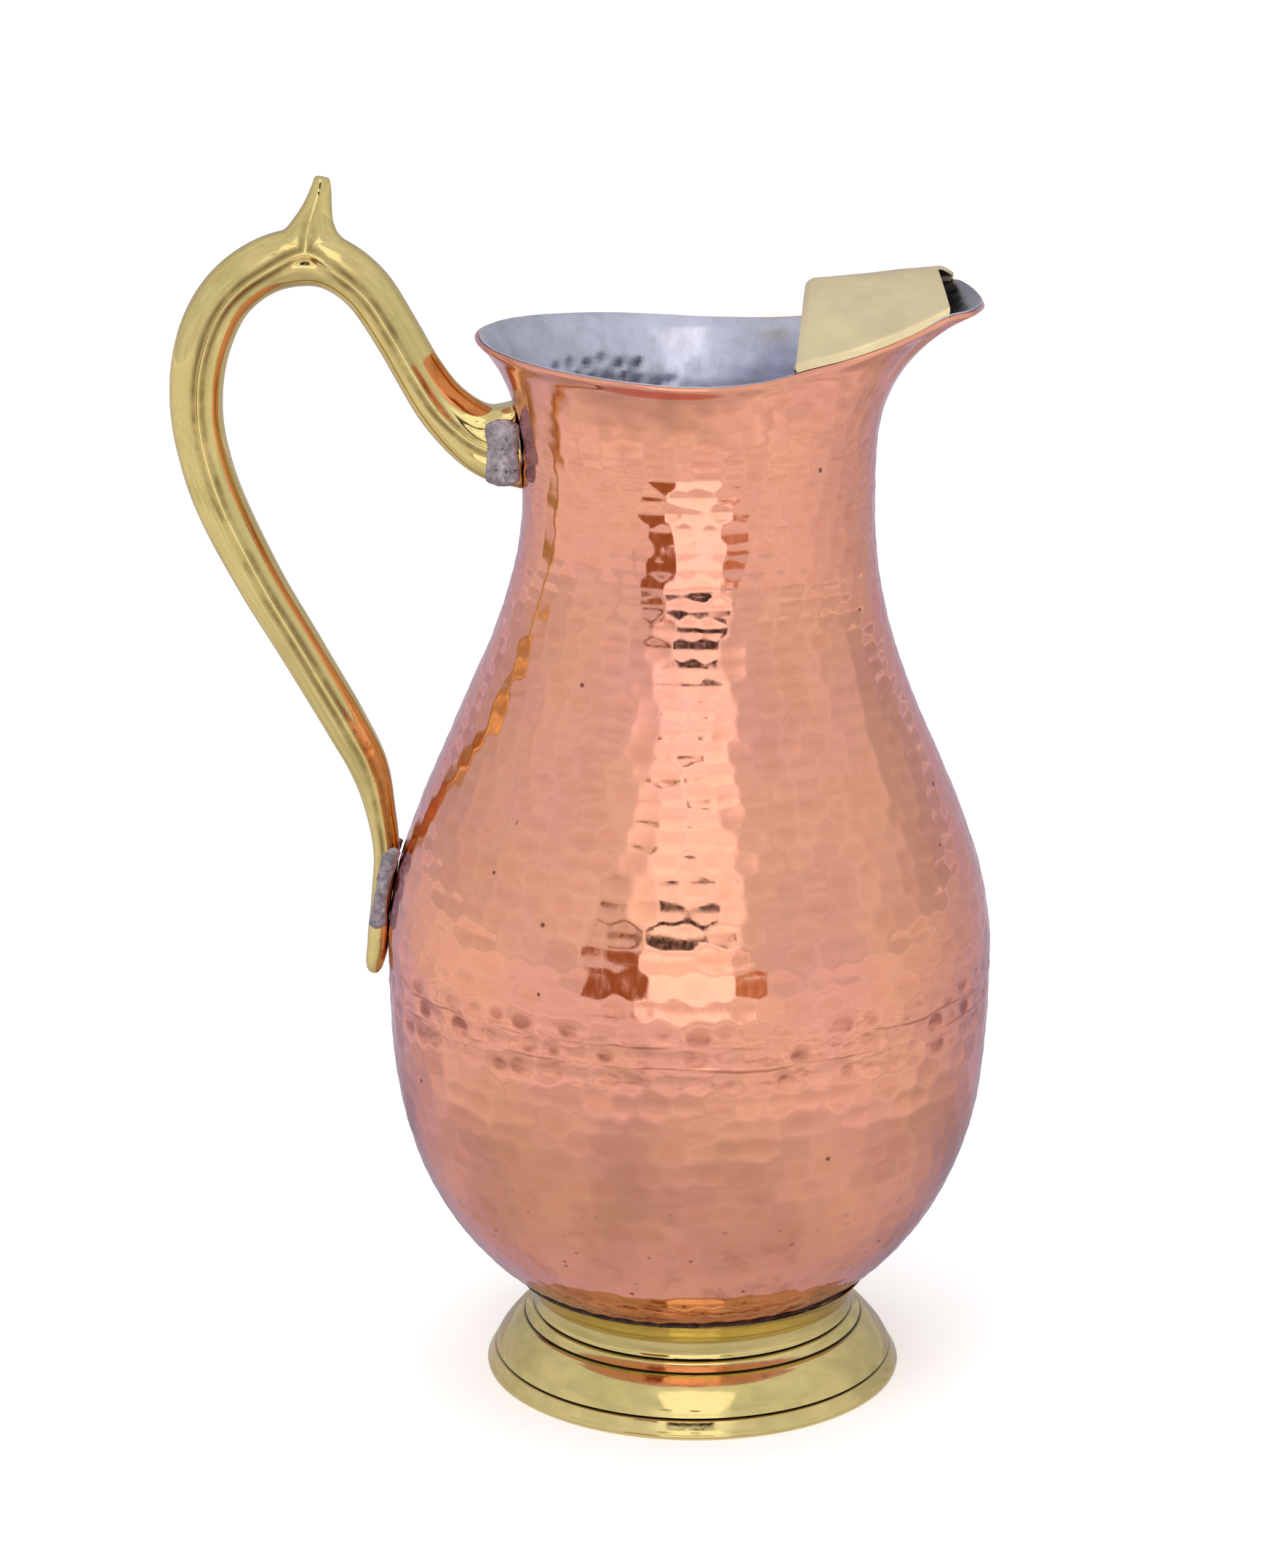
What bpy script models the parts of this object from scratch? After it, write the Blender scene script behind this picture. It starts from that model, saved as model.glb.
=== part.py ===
"""A hammered copper pouring jug, modelled as the separate pieces it is soldered up from.

Two copper halves meet in a brazed belly seam and are tinned inside. A cast brass handle with a
thumb spike, a turned bell-shaped brass foot and a folded brass guard over the pouring lip are
soldered on. Every piece is drawn about the jug's own axis, and an empty carries that axis to its
place, so that the origin is the middle of the whole object's base. The spout points along +X.
"""

from math import asin, atan2, cos, degrees, hypot, pi, radians, sin

import bmesh
import bpy
from mathutils import Vector

MM = 0.001
GAP = 0.3 * MM  # kept between two pieces that touch
TURN_STEPS = 40  # facets around every turned piece

# The copper pot
WALL = 1.1 * MM
BELLY_R = 70.0 * MM
BELLY_Z = 105.3 * MM
BOWL_BOTTOM_Z = 12.3 * MM
BOWL_FULLNESS = 2.87  # 2 is an ellipse, more is fuller
NECK_R = 40.0 * MM
NECK_Z = 210.3 * MM
SHOULDER_SLACK = 0.94  # 1 is a plain cosine from belly to neck, less draws the shoulder in
NECK_LEAN = 1.8 * MM  # the neck sits this far towards the spout
LEAN_START_Z = 160.0 * MM
SEAM_Z = 98.0 * MM
SEAM_HEIGHT = 1.2 * MM
TIN = 0.5 * MM
RIM_THICK = WALL + GAP + TIN

# The mouth: the rim's radius about the jug's axis and its height, by the angle from the spout
SPOUT_REACH = 65.0 * MM
SPOUT_HALF_WIDTH = 21.5 * MM
LIP_WAIST_R = 43.4 * MM  # where the round mouth turns into the lip
MOUTH_SIDE_R = 46.8 * MM
MOUTH_BACK_R = 48.2 * MM
SPOUT_RISE = 44.3 * MM  # heights above the neck's narrowest ring
LIP_WAIST_RISE = 34.3 * MM
MOUTH_SIDE_RISE = 32.7 * MM
MOUTH_BACK_RISE = 36.6 * MM
FLARE_POWER = 3.2  # how late the neck opens towards the rim
SPOUT_FLARE_POWER = 3.5
SPOUT_FLARE_ANGLE = radians(60)  # the spout's flare fades into the mouth's over this turn

# The turned foot, a bell under a short hollow collar, set a little off the jug's axis
FOOT_OFFSET_X = 1.2 * MM
FOOT_R = 49.0 * MM
FOOT_TOP_Z = 24.8 * MM
FOOT_WAIST_IN = 4.0 * MM  # the waist is this much narrower than the collar's top edge
FOOT_WAIST_Z = 17.7 * MM
# the bell under the waist: (share of the way out to the base, share of the waist's height)
FOOT_BELL = (
    (0.05, 0.85),
    (0.25, 0.71),
    (0.47, 0.58),
    (0.72, 0.38),
    (0.84, 0.24),
    (0.95, 0.09),
    (1.0, 0.03),
)
COLLAR_FLARE = 1.7  # how late the foot's collar opens towards the bowl
FOOT_WALL = 2.6 * MM
FOOT_LIP = 0.6 * MM
FOOT_LAND = 3.6 * MM
FOOT_SOLDER = 1.0 * MM
GROOVE_DEPTH = 0.5 * MM
GROOVE_WIDTH = 0.7 * MM
GROOVES_Z = (15.0 * MM, 12.6 * MM, 4.3 * MM)

# The guard over the lip: a folded brass sheet, ridge along X
GUARD_SHEET = 0.9 * MM
GUARD_LEAN = 0.3 * MM  # the skirt leans in by this much up to the fold
GUARD_BACK_NEAR_X = 22.2 * MM
GUARD_BACK_FAR_X = 27.5 * MM  # the sheet sits turned, its far edge further towards the spout
GUARD_RIDGE_BACK_X = 25.5 * MM
GUARD_NEAR_SETBACK = 8.8 * MM  # from the lip's tip back to the guard's front edge
GUARD_FAR_SETBACK = 4.8 * MM
GUARD_RIDGE_SETBACK = 10.3 * MM
GUARD_CREASE_RISE = 1.0 * MM  # fold between skirt and panel, above the rim's outer corner and wall
GUARD_RIDGE_BACK_RISE = 49.5 * MM  # ridge above the neck's narrowest ring at each end
GUARD_RIDGE_FRONT_RISE = 52.4 * MM
GUARD_RIDGE_ROUND = 3.2 * MM
GUARD_SOLDER_R = 0.4 * MM
GUARD_SOLDER_SHARE = 0.42  # the thread runs this share of the guard's length, from the back

# The cast handle. Its heights are shares of the span between its two joints.
HANDLE_TAIL_DROP = 0.9 * MM  # tail tip below the belly seam
HANDLE_NECK_RISE = 11.7 * MM  # middle of the upper joint above the neck's narrowest ring
HANDLE_SIDES = 12
HANDLE_STATIONS = 2  # sections between two of the points below
# stand-off from the copper, height share, depth in the handle's plane, width across it, squareness
HANDLE_POINTS = (
    (-3.0, 1.003, 20.0, 12.6, 5.0),
    (4.2, 1.008, 17.2, 12.6, 4.5),
    (10.0, 1.029, 14.4, 12.2, 3.2),
    (16.2, 1.075, 12.2, 11.8, 2.4),
    (21.2, 1.135, 11.0, 11.6, 2.2),
    (26.0, 1.204, 10.9, 11.8, 2.2),
    (32.3, 1.283, 11.4, 12.2, 2.2),
    (39.4, 1.328, 12.0, 12.6, 2.2),
    (47.0, 1.342, 13.0, 13.0, 2.2),
    (55.8, 1.324, 12.6, 13.0, 2.2),
    (63.7, 1.275, 12.4, 12.8, 2.2),
    (68.8, 1.203, 12.6, 12.6, 2.2),
    (71.3, 1.111, 12.2, 12.4, 2.2),
    (70.6, 1.006, 11.7, 12.2, 2.2),
    (65.6, 0.876, 11.6, 11.8, 2.2),
    (55.1, 0.742, 10.8, 11.4, 2.2),
    (40.2, 0.607, 10.3, 11.0, 2.2),
    (25.1, 0.483, 10.0, 10.6, 2.2),
    (15.4, 0.400, 9.1, 10.2, 2.2),
    (8.6, 0.318, 7.1, 9.8, 2.4),
    (3.6, 0.231, 6.0, 9.4, 3.0),
    (2.3, 0.140, 5.0, 9.0, 3.0),
    (2.4, 0.065, 5.2, 8.4, 2.6),
    (3.4, 0.017, 4.2, 7.2, 2.2),
    (3.6, 0.000, 2.4, 5.0, 2.0),
)
ARCH_CREST = 8  # the point above that the thumb spike stands on
# along X and up from that point, then the spike's thickness along X and width along Y
SPIKE_SECTIONS = (
    (1.4, -3.0, 17.0, 9.6),
    (1.8, 4.9, 14.0, 9.0),
    (2.7, 8.2, 9.2, 7.6),
    (3.6, 11.4, 6.8, 6.2),
    (4.4, 14.6, 5.1, 5.2),
    (4.9, 18.0, 3.4, 4.4),
)

# Solder beside the handle's two joints
NECK_SOLDER = (6.0 * MM, 14.5 * MM, 1.1 * MM)  # along X, up, thick
TAIL_SOLDER = (3.4 * MM, 22.0 * MM, 0.9 * MM)
NECK_SOLDER_STANDOFF = 5.2 * MM
TAIL_SOLDER_SHARE = 0.180  # middle of the strip, as a share of the handle's span


# ---------------------------------------------------------------- curves and rules


def between(a, b, share):
    return a + (b - a) * share


def ease(share):
    """0 to 1 with level ends."""
    share = min(max(share, 0.0), 1.0)
    return share * share * (3 - 2 * share)


def through(a, b, c, d, t):
    """A smooth curve's value between b (t 0) and c (t 1), with a before them and d after."""
    return b + (c - a) / 2 * t + (a - 2.5 * b + 2 * c - d / 2) * t**2 + (3 * b - a - 3 * c + d) / 2 * t**3


def smooth_rows(points, each):
    """Rows of numbers on the smooth curve through the given rows, `each` steps between two."""
    rows = []
    for index in range(len(points) - 1):
        before = points[max(index - 1, 0)]
        start, end = points[index], points[index + 1]
        after = points[min(index + 2, len(points) - 1)]
        for step in range(each):
            rows.append(tuple(through(*four, step / each) for four in zip(before, start, end, after)))
    rows.append(tuple(points[-1]))
    return rows


def pot_radius(z):
    """Outer radius of the turned copper from the bowl's bottom to the neck."""
    if z <= BELLY_Z:
        down = (BELLY_Z - z) / (BELLY_Z - BOWL_BOTTOM_Z)
        return BELLY_R * max(1 - down**BOWL_FULLNESS, 0.0) ** 0.5
    up = min((z - BELLY_Z) / (NECK_Z - BELLY_Z), 1.0) ** SHOULDER_SLACK
    return between(NECK_R, BELLY_R, (1 + cos(pi * up)) / 2)


def pot_lean(z):
    return NECK_LEAN * ease((z - LEAN_START_Z) / (NECK_Z - LEAN_START_Z))


def rim_rule(angle):
    """(radius, rise above the neck) of the rim at an angle from the spout, either way round."""
    corner = degrees(asin(SPOUT_HALF_WIDTH / SPOUT_REACH))
    stations = (
        (0.0, SPOUT_REACH, SPOUT_RISE),
        (corner, SPOUT_REACH, SPOUT_RISE + 0.4 * MM),
        (corner + 7.5, between(SPOUT_REACH, LIP_WAIST_R, 0.36), between(SPOUT_RISE, LIP_WAIST_RISE, 0.20)),
        (33.5, between(SPOUT_REACH, LIP_WAIST_R, 0.57), between(SPOUT_RISE, LIP_WAIST_RISE, 0.52)),
        (44.0, between(SPOUT_REACH, LIP_WAIST_R, 0.87), between(SPOUT_RISE, LIP_WAIST_RISE, 0.84)),
        (56.0, LIP_WAIST_R, LIP_WAIST_RISE),
        (72.0, between(LIP_WAIST_R, MOUTH_SIDE_R, 0.5), between(LIP_WAIST_RISE, MOUTH_SIDE_RISE, 0.85)),
        (92.0, MOUTH_SIDE_R, MOUTH_SIDE_RISE),
        (122.0, between(MOUTH_SIDE_R, MOUTH_BACK_R, 0.8), between(MOUTH_SIDE_RISE, MOUTH_BACK_RISE, 0.4)),
        (150.0, MOUTH_BACK_R, between(MOUTH_SIDE_RISE, MOUTH_BACK_RISE, 0.8)),
        (180.0, MOUTH_BACK_R, MOUTH_BACK_RISE),
    )
    turned = abs(degrees(angle))
    for (start, r0, h0), (end, r1, h1) in zip(stations, stations[1:]):
        if turned <= end:
            share = (turned - start) / (end - start)
            return between(r0, r1, share), between(h0, h1, share)
    return stations[-1][1:]


def mouth_point(angle, share):
    """A point of the copper's outer face between the neck (share 0) and the rim (share 1)."""
    radius, rise = rim_rule(angle)
    neck = Vector((NECK_LEAN + NECK_R * cos(angle), NECK_R * sin(angle)))
    rim = Vector((radius * cos(angle), radius * sin(angle)))
    place = neck.lerp(rim, share ** flare_power(angle))
    return Vector((place.x, place.y, NECK_Z + rise * share))


def flare_power(angle):
    return between(SPOUT_FLARE_POWER, FLARE_POWER, ease(abs(angle) / SPOUT_FLARE_ANGLE))


def rim_facets():
    """The rim's corner points as the faceted shells have them, from the spout round the near side."""
    return [mouth_point(-2 * pi * step / TURN_STEPS, 1.0) for step in range(TURN_STEPS // 2)]


def rim_at(x):
    """The point of the faceted rim at a distance along X, on the near side of the lip."""
    corners = rim_facets()
    for front, back in zip(corners, corners[1:]):
        if back.x <= x <= front.x:
            return front.lerp(back, (front.x - x) / max(front.x - back.x, 1e-9))
    return corners[0]


# ---------------------------------------------------------------- making objects


def material(name, colour, roughness, metallic):
    made = bpy.data.materials.new(name)
    made.use_nodes = True
    made.diffuse_color = (*colour, 1.0)
    shader = made.node_tree.nodes["Principled BSDF"]
    shader.inputs["Base Color"].default_value = (*colour, 1.0)
    shader.inputs["Roughness"].default_value = roughness
    shader.inputs["Metallic"].default_value = metallic
    return made


def add_object(name, data, collection, parent):
    made = bpy.data.objects.new(name, data)
    made.parent = parent
    collection.objects.link(made)
    return made


def mesh_from(name, points, faces=(), edges=()):
    made = bpy.data.meshes.new(name)
    made.from_pydata([tuple(point) for point in points], edges, faces)
    return made


def finish_mesh(obj, finish, sharp=40):
    obj.data.materials.clear()
    obj.data.materials.append(finish)
    if obj.type == "MESH":
        obj.data.shade_smooth()
        obj.data.set_sharp_from_angle(angle=radians(sharp))


def turn(obj, steps=TURN_STEPS):
    """Turns the object's profile, drawn at +X from top to bottom, about the jug's axis."""
    screw = obj.modifiers.new("turned", "SCREW")
    screw.steps = steps
    screw.render_steps = steps
    screw.use_merge_vertices = True
    screw.merge_threshold = 1e-5
    screw.use_normal_calculate = False
    return screw


def turned_ring(name, profile, collection, parent):
    """A closed profile of (radius, height) points, turned into a solid ring."""
    points = [(radius, 0.0, height) for radius, height in profile]
    edges = [(index, (index + 1) % len(points)) for index in range(len(points))]
    made = add_object(name, mesh_from(name, points, edges=edges), collection, parent)
    turn(made)
    return made


def baked(obj):
    """Swaps the object's modifiers for the mesh that they make."""
    graph = bpy.context.evaluated_depsgraph_get()
    whole = bpy.data.meshes.new_from_object(obj.evaluated_get(graph))
    old = obj.data
    obj.modifiers.clear()
    obj.data = whole
    bpy.data.meshes.remove(old)
    return obj


def pot_surface(name, heights, collar, collection, parent):
    """The copper's outer face over the given heights, with the mouth if `collar` has shares of it.

    It is turned as a bowl with a straight collar, then the neck is leaned and the collar beaten
    out to the lip and the round mouth.
    """
    rise = MOUTH_BACK_RISE
    profile = [(NECK_R, NECK_Z + rise * share) for share in reversed(collar)]
    profile += [(pot_radius(z), z) for z in reversed(heights)]
    points = [(radius, 0.0, z) for radius, z in profile]
    edges = [(index, index + 1) for index in range(len(points) - 1)]
    made = add_object(name, mesh_from(name, points, edges=edges), collection, parent)
    turn(made)
    baked(made)
    for vertex in made.data.vertices:
        x, y, z = vertex.co
        if z > NECK_Z + 1e-6:
            vertex.co = mouth_point(atan2(y, x), (z - NECK_Z) / rise)
        else:
            vertex.co.x = x + pot_lean(z)
    return made


def thicken(obj, outside, inside):
    """Gives a face a wall that runs from `outside` to `inside`, both counted outwards from it."""
    wall = obj.modifiers.new("wall", "SOLIDIFY")
    wall.thickness = outside - inside
    wall.offset = (outside + inside) / (outside - inside)
    wall.use_even_offset = True
    wall.use_rim = True
    return wall


def cut(obj, cutter, operation="DIFFERENCE"):
    boolean = obj.modifiers.new(cutter.name, "BOOLEAN")
    boolean.operation = operation
    boolean.object = cutter
    boolean.solver = "EXACT"
    return boolean


def hide(obj):
    obj.hide_render = True
    obj.display_type = "WIRE"


def loft(name, rings, collection, parent):
    """A closed solid through rings of equal length, for sections that change along the way."""
    count = len(rings[0])
    points = [point for ring in rings for point in ring]
    faces = []
    for row in range(len(rings) - 1):
        for side in range(count):
            after = (side + 1) % count
            low, high = row * count, (row + 1) * count
            faces.append((low + side, low + after, high + after, high + side))
    faces.append(tuple(reversed(range(count))))
    faces.append(tuple(range(len(points) - count, len(points))))
    made = add_object(name, mesh_from(name, points, faces), collection, parent)
    shape = bmesh.new()
    shape.from_mesh(made.data)
    bmesh.ops.recalc_face_normals(shape, faces=shape.faces)
    shape.to_mesh(made.data)
    shape.free()
    return made


def spaced(start, end, count):
    return [between(start, end, index / (count - 1)) for index in range(count)]


def bowl_heights(top, rows):
    """Heights from the bowl's bottom to `top`, closer together where the bowl is flatter."""
    return [between(BOWL_BOTTOM_Z, top, 1 - cos(pi / 2 * index / rows)) for index in range(rows + 1)]


# ---------------------------------------------------------------- the copper pot

COLLAR = (0.35, 0.58, 0.75, 0.88, 1.0)
SHOULDER_ROWS = 9
BOWL_ROWS = 9


def shoulder_heights(bottom):
    return spaced(bottom, NECK_Z, SHOULDER_ROWS)


def add_lower_body(collection, parent, finish):
    top = SEAM_Z - SEAM_HEIGHT / 2 - GAP
    made = pot_surface("lower_body", bowl_heights(top, BOWL_ROWS), (), collection, parent)
    thicken(made, 0.0, -WALL)
    finish_mesh(made, finish)


def add_belly_seam(collection, parent, finish):
    heights = spaced(SEAM_Z - SEAM_HEIGHT / 2, SEAM_Z + SEAM_HEIGHT / 2, 2)
    made = pot_surface("belly_seam", heights, (), collection, parent)
    thicken(made, 0.0, -WALL)
    finish_mesh(made, finish)


def add_upper_body(collection, parent, finish):
    bottom = SEAM_Z + SEAM_HEIGHT / 2 + GAP
    made = pot_surface("upper_body", shoulder_heights(bottom), COLLAR, collection, parent)
    thicken(made, 0.0, -WALL)
    finish_mesh(made, finish)


def add_tin_lining(collection, parent, finish):
    heights = bowl_heights(SEAM_Z, BOWL_ROWS) + shoulder_heights(SEAM_Z)[1:]
    made = pot_surface("tin_lining", heights, COLLAR, collection, parent)
    thicken(made, -WALL - GAP, -RIM_THICK)
    finish_mesh(made, finish)


def add_pot_clearance(collection, parent):
    """The whole copper pot as a solid, a gap larger all round: what is soldered on is cut by it."""
    heights = bowl_heights(SEAM_Z, BOWL_ROWS) + shoulder_heights(SEAM_Z)[1:]
    made = pot_surface("pot_clearance", heights, COLLAR, collection, parent)
    grown = made.modifiers.new("grown", "DISPLACE")
    grown.strength = GAP
    grown.mid_level = 0.0
    baked(made)
    shape = bmesh.new()
    shape.from_mesh(made.data)
    open_edges = [edge for edge in shape.edges if edge.is_boundary]
    bmesh.ops.contextual_create(shape, geom=open_edges)
    bmesh.ops.recalc_face_normals(shape, faces=shape.faces)
    shape.to_mesh(made.data)
    shape.free()
    hide(made)
    return made


# ---------------------------------------------------------------- the foot


def foot_waist():
    """The foot's narrowest radius, which follows the bowl that it carries."""
    return pot_radius(FOOT_TOP_Z) + FOOT_LIP - FOOT_WAIST_IN


def foot_curve():
    """(radius, height) points down the outside: collar, waist, bell and a slanted base band."""
    waist = foot_waist()
    top = waist + FOOT_WAIST_IN
    collar = [
        (between(waist, top, rise**COLLAR_FLARE), between(FOOT_WAIST_Z, FOOT_TOP_Z, rise))
        for rise in (1.0, 0.8, 0.5, 0.2)
    ]
    bell = [(between(waist, FOOT_R, out), FOOT_WAIST_Z * up) for out, up in FOOT_BELL]
    return collar + [(waist, FOOT_WAIST_Z)] + bell + [(FOOT_R, 0.0)]


def outside_radius(curve, z):
    for (r0, z0), (r1, z1) in zip(curve, curve[1:]):
        if z1 <= z <= z0:
            return between(r0, r1, (z0 - z) / (z0 - z1))
    return curve[-1][0]


def grooved(curve):
    """The curve with a narrow groove cut in at each groove height."""
    points = list(curve)
    for z in GROOVES_Z:
        half = GROOVE_WIDTH / 2
        notch = [
            (outside_radius(curve, z + half), z + half),
            (outside_radius(curve, z) - GROOVE_DEPTH, z),
            (outside_radius(curve, z - half), z - half),
        ]
        points = [point for point in points if abs(point[1] - z) > half * 1.2] + notch
    return sorted(points, key=lambda point: (-point[1], point[0]))


def add_foot(collection, parent, clearance, finish):
    """The turned casting, drawn solid at the top and then cut to seat the bowl."""
    curve = foot_curve()
    inside_r = foot_waist() - FOOT_WALL
    hollow = [(FOOT_R - FOOT_LAND, 0.0)]
    hollow += [(outside_radius(curve, z) - FOOT_WALL, z - FOOT_WALL * 0.6) for z in (4 * MM, 8 * MM, 12 * MM)]
    hollow += [(inside_r, FOOT_WAIST_Z - FOOT_WALL), (inside_r, FOOT_TOP_Z)]
    made = turned_ring("foot", grooved(curve) + hollow, collection, parent)
    made.location.x = FOOT_OFFSET_X
    baked(made)
    cut(made, clearance)
    finish_mesh(made, finish, sharp=30)


def add_foot_solder(collection, parent, finish):
    """A thin ring in the corner between the bowl and the foot's top edge."""
    low = FOOT_TOP_Z + GAP
    top = low + FOOT_SOLDER
    seat = [pot_radius(z) + GAP * 1.6 for z in (low, top)]
    profile = [(seat[1] + 0.1 * MM, top), (seat[0] + FOOT_LIP, low), (seat[0], low), (seat[1], top)]
    made = turned_ring("foot_solder", profile, collection, parent)
    finish_mesh(made, finish)


# ---------------------------------------------------------------- the guard over the lip


def guard_ends(side):
    """Where the guard's edge starts and ends along X at the rim: side -1 is near, 1 is far."""
    if side < 0:
        return GUARD_BACK_NEAR_X, SPOUT_REACH - GUARD_NEAR_SETBACK
    return GUARD_BACK_FAR_X, SPOUT_REACH - GUARD_FAR_SETBACK


def rim_slope_room(rim):
    """How far the rim's sloping edge stands above its outer corner."""
    flare = flare_power(atan2(rim.y, rim.x)) * (hypot(rim.x, rim.y) - NECK_R) / (rim.z - NECK_Z)
    return RIM_THICK * flare / hypot(1, flare)


def guard_rim(share, side):
    """The rim's outer corner under the guard, at a share of the guard's length."""
    back, front = guard_ends(side)
    return rim_at(between(back, front, share))


def guard_foot(share, side):
    """The skirt's lowest outer point at a share of the guard's length."""
    rim = guard_rim(share, side)
    foot = rim.copy()
    foot.z += rim_slope_room(rim) + GAP
    foot.y = abs(foot.y) * side
    return foot


def guard_section(share):
    """Outer points across the guard, from the near skirt over the ridge to the far skirt."""
    ridge_x = between(GUARD_RIDGE_BACK_X, SPOUT_REACH - GUARD_RIDGE_SETBACK, share)
    ridge_z = NECK_Z + between(GUARD_RIDGE_BACK_RISE, GUARD_RIDGE_FRONT_RISE, share)
    points = []
    for side in (-1, 1):
        foot = guard_foot(share, side)
        crease_z = guard_rim(share, side).z + RIM_THICK + GUARD_CREASE_RISE
        crease = Vector((foot.x, foot.y - side * GUARD_LEAN, crease_z))
        half = abs(crease.y)
        reach = hypot(half, GUARD_RIDGE_ROUND) - GUARD_RIDGE_ROUND
        panel = []
        for part in (0.0, 0.05, 0.12, 0.22, 0.5):
            y = half * part
            drop = (hypot(y, GUARD_RIDGE_ROUND) - GUARD_RIDGE_ROUND) / reach
            x = between(ridge_x, crease.x, part)
            panel.append(Vector((x, side * y, between(ridge_z, crease.z, drop))))
        run = panel + [crease, foot]
        points += list(reversed(run)) if side < 0 else run[1:]
    return points


def add_guard(collection, parent, finish):
    rows = [guard_section(share) for share in spaced(0.0, 1.0, 7)]
    count = len(rows[0])
    points = [point for row in rows for point in row]
    faces = []
    for low in range(0, len(points) - count, count):
        high = low + count
        faces += [(low + at, low + at + 1, high + at + 1, high + at) for at in range(count - 1)]
    made = add_object("spout_guard", mesh_from("spout_guard", points, faces), collection, parent)
    thicken(made, GUARD_SHEET, 0.0)
    made.modifiers["wall"].offset = guard_offset(made)
    finish_mesh(made, finish, sharp=25)


def guard_offset(obj):
    """Solidify's offset that keeps the drawn face outside, whichever way its faces point."""
    up = sum(face.normal.z * face.area for face in obj.data.polygons)
    return -1.0 if up > 0 else 1.0


def add_guard_solder(name, side, collection, parent, finish):
    """A thread of solder in the corner between the guard's skirt and the rim."""
    inward = GUARD_SHEET + GUARD_LEAN + GAP + GUARD_SOLDER_R
    route = []
    for share in spaced(0.04, GUARD_SOLDER_SHARE, 6):
        foot = guard_foot(share, side)
        inner = foot - Vector((foot.x * 0.25, foot.y, 0.0)).normalized() * inward
        route.append((inner.x, inner.y, foot.z + GUARD_SOLDER_R))
    wire = bpy.data.curves.new(name, "CURVE")
    wire.dimensions = "3D"
    wire.bevel_depth = GUARD_SOLDER_R
    wire.bevel_resolution = 1
    wire.use_fill_caps = True
    spline = wire.splines.new("POLY")
    spline.points.add(len(route) - 1)
    for point, place in zip(spline.points, route):
        point.co = (*place, 1.0)
    wire.materials.append(finish)
    return add_object(name, wire, collection, parent)


# ---------------------------------------------------------------- the handle


def handle_place(standoff, share):
    """(x, z) of a handle point: so far from the copper, at a share of the span between joints."""
    low = SEAM_Z - HANDLE_TAIL_DROP
    high = NECK_Z + HANDLE_NECK_RISE
    z = between(low, high, share)
    return -(pot_radius(z) + standoff), z


def squircle(part, squareness):
    """(across, deep) of a rounded section, each from -1 to 1, at a share of the way round."""
    angle = 2 * pi * part
    across, deep = cos(angle), sin(angle)
    power = 2 / squareness
    return (abs(across) ** power * (1 if across > 0 else -1), abs(deep) ** power * (1 if deep > 0 else -1))


def handle_ring(place, along, depth, width, squareness):
    """One section, square to the handle's run in the XZ plane."""
    outward = Vector((along.z, 0.0, -along.x))
    ring = []
    for side in range(HANDLE_SIDES):
        across, deep = squircle((side + 0.5) / HANDLE_SIDES, squareness)
        ring.append(place + outward * deep * depth / 2 + Vector((0.0, across * width / 2, 0.0)))
    return ring


def add_handle(collection, cutters, parent, clearance, finish):
    rows = []
    for standoff, share, depth, width, squareness in smooth_rows(HANDLE_POINTS, HANDLE_STATIONS):
        x, z = handle_place(standoff * MM, share)
        rows.append((Vector((x, 0.0, z)), depth * MM, width * MM, squareness))
    rings = []
    for index, (place, depth, width, squareness) in enumerate(rows):
        before = rows[max(index - 1, 0)][0]
        after = rows[min(index + 1, len(rows) - 1)][0]
        along = (after - before).normalized()
        if index == 0:
            along = Vector((-1.0, 0.0, 0.0))
        rings.append(handle_ring(place, along, depth, width, squareness))
    made = loft("handle", rings, collection, parent)
    spike = add_spike(cutters, parent)
    cut(made, spike, "UNION")
    cut(made, clearance)
    finish_mesh(made, finish, sharp=50)
    return made


def add_spike(collection, parent):
    standoff, share = HANDLE_POINTS[ARCH_CREST][:2]
    x, z = handle_place(standoff * MM, share)
    rings = []
    for along, up, thick, wide in SPIKE_SECTIONS:
        ring = []
        for side in range(8):
            across, deep = squircle((side + 0.5) / 8, 3.0)
            ring.append(Vector((x + along * MM + deep * thick * MM / 2, across * wide * MM / 2, z + up * MM)))
        rings.append(ring)
    made = loft("thumb_spike", rings, collection, parent)
    hide(made)
    return made


def handle_half_width(share):
    """Half of the handle's width across, at a share of the span near its tail or its neck end."""
    points = [point for point in HANDLE_POINTS if abs(point[1] - share) < 0.12]
    return max(point[3] for point in points) * MM / 2


def add_handle_solder(name, side, place, size, share, clearance, collection, parent, finish):
    """A flat lump of solder on one side of the handle: a box with heavily rounded edges."""
    along, up, thick = size
    made = add_object(name, bpy.data.meshes.new(name), collection, parent)
    shape = bmesh.new()
    bmesh.ops.create_cube(shape, size=1.0)
    bmesh.ops.scale(shape, vec=(along, thick, up), verts=shape.verts)
    shape.to_mesh(made.data)
    shape.free()
    made.location = (place[0], side * (handle_half_width(share) + GAP + thick / 2), place[1])
    rounded = made.modifiers.new("rounded", "BEVEL")
    rounded.width = thick * 0.45
    rounded.segments = 2
    cut(made, clearance)
    finish_mesh(made, finish)
    return made


# ---------------------------------------------------------------- the whole jug


def handle_reach():
    """How far the handle stands out from the jug's axis."""
    reaches = []
    for standoff, share, depth, _, _ in HANDLE_POINTS:
        reaches.append(-handle_place(standoff * MM, share)[0] + depth * MM / 2)
    return max(reaches)


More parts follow.
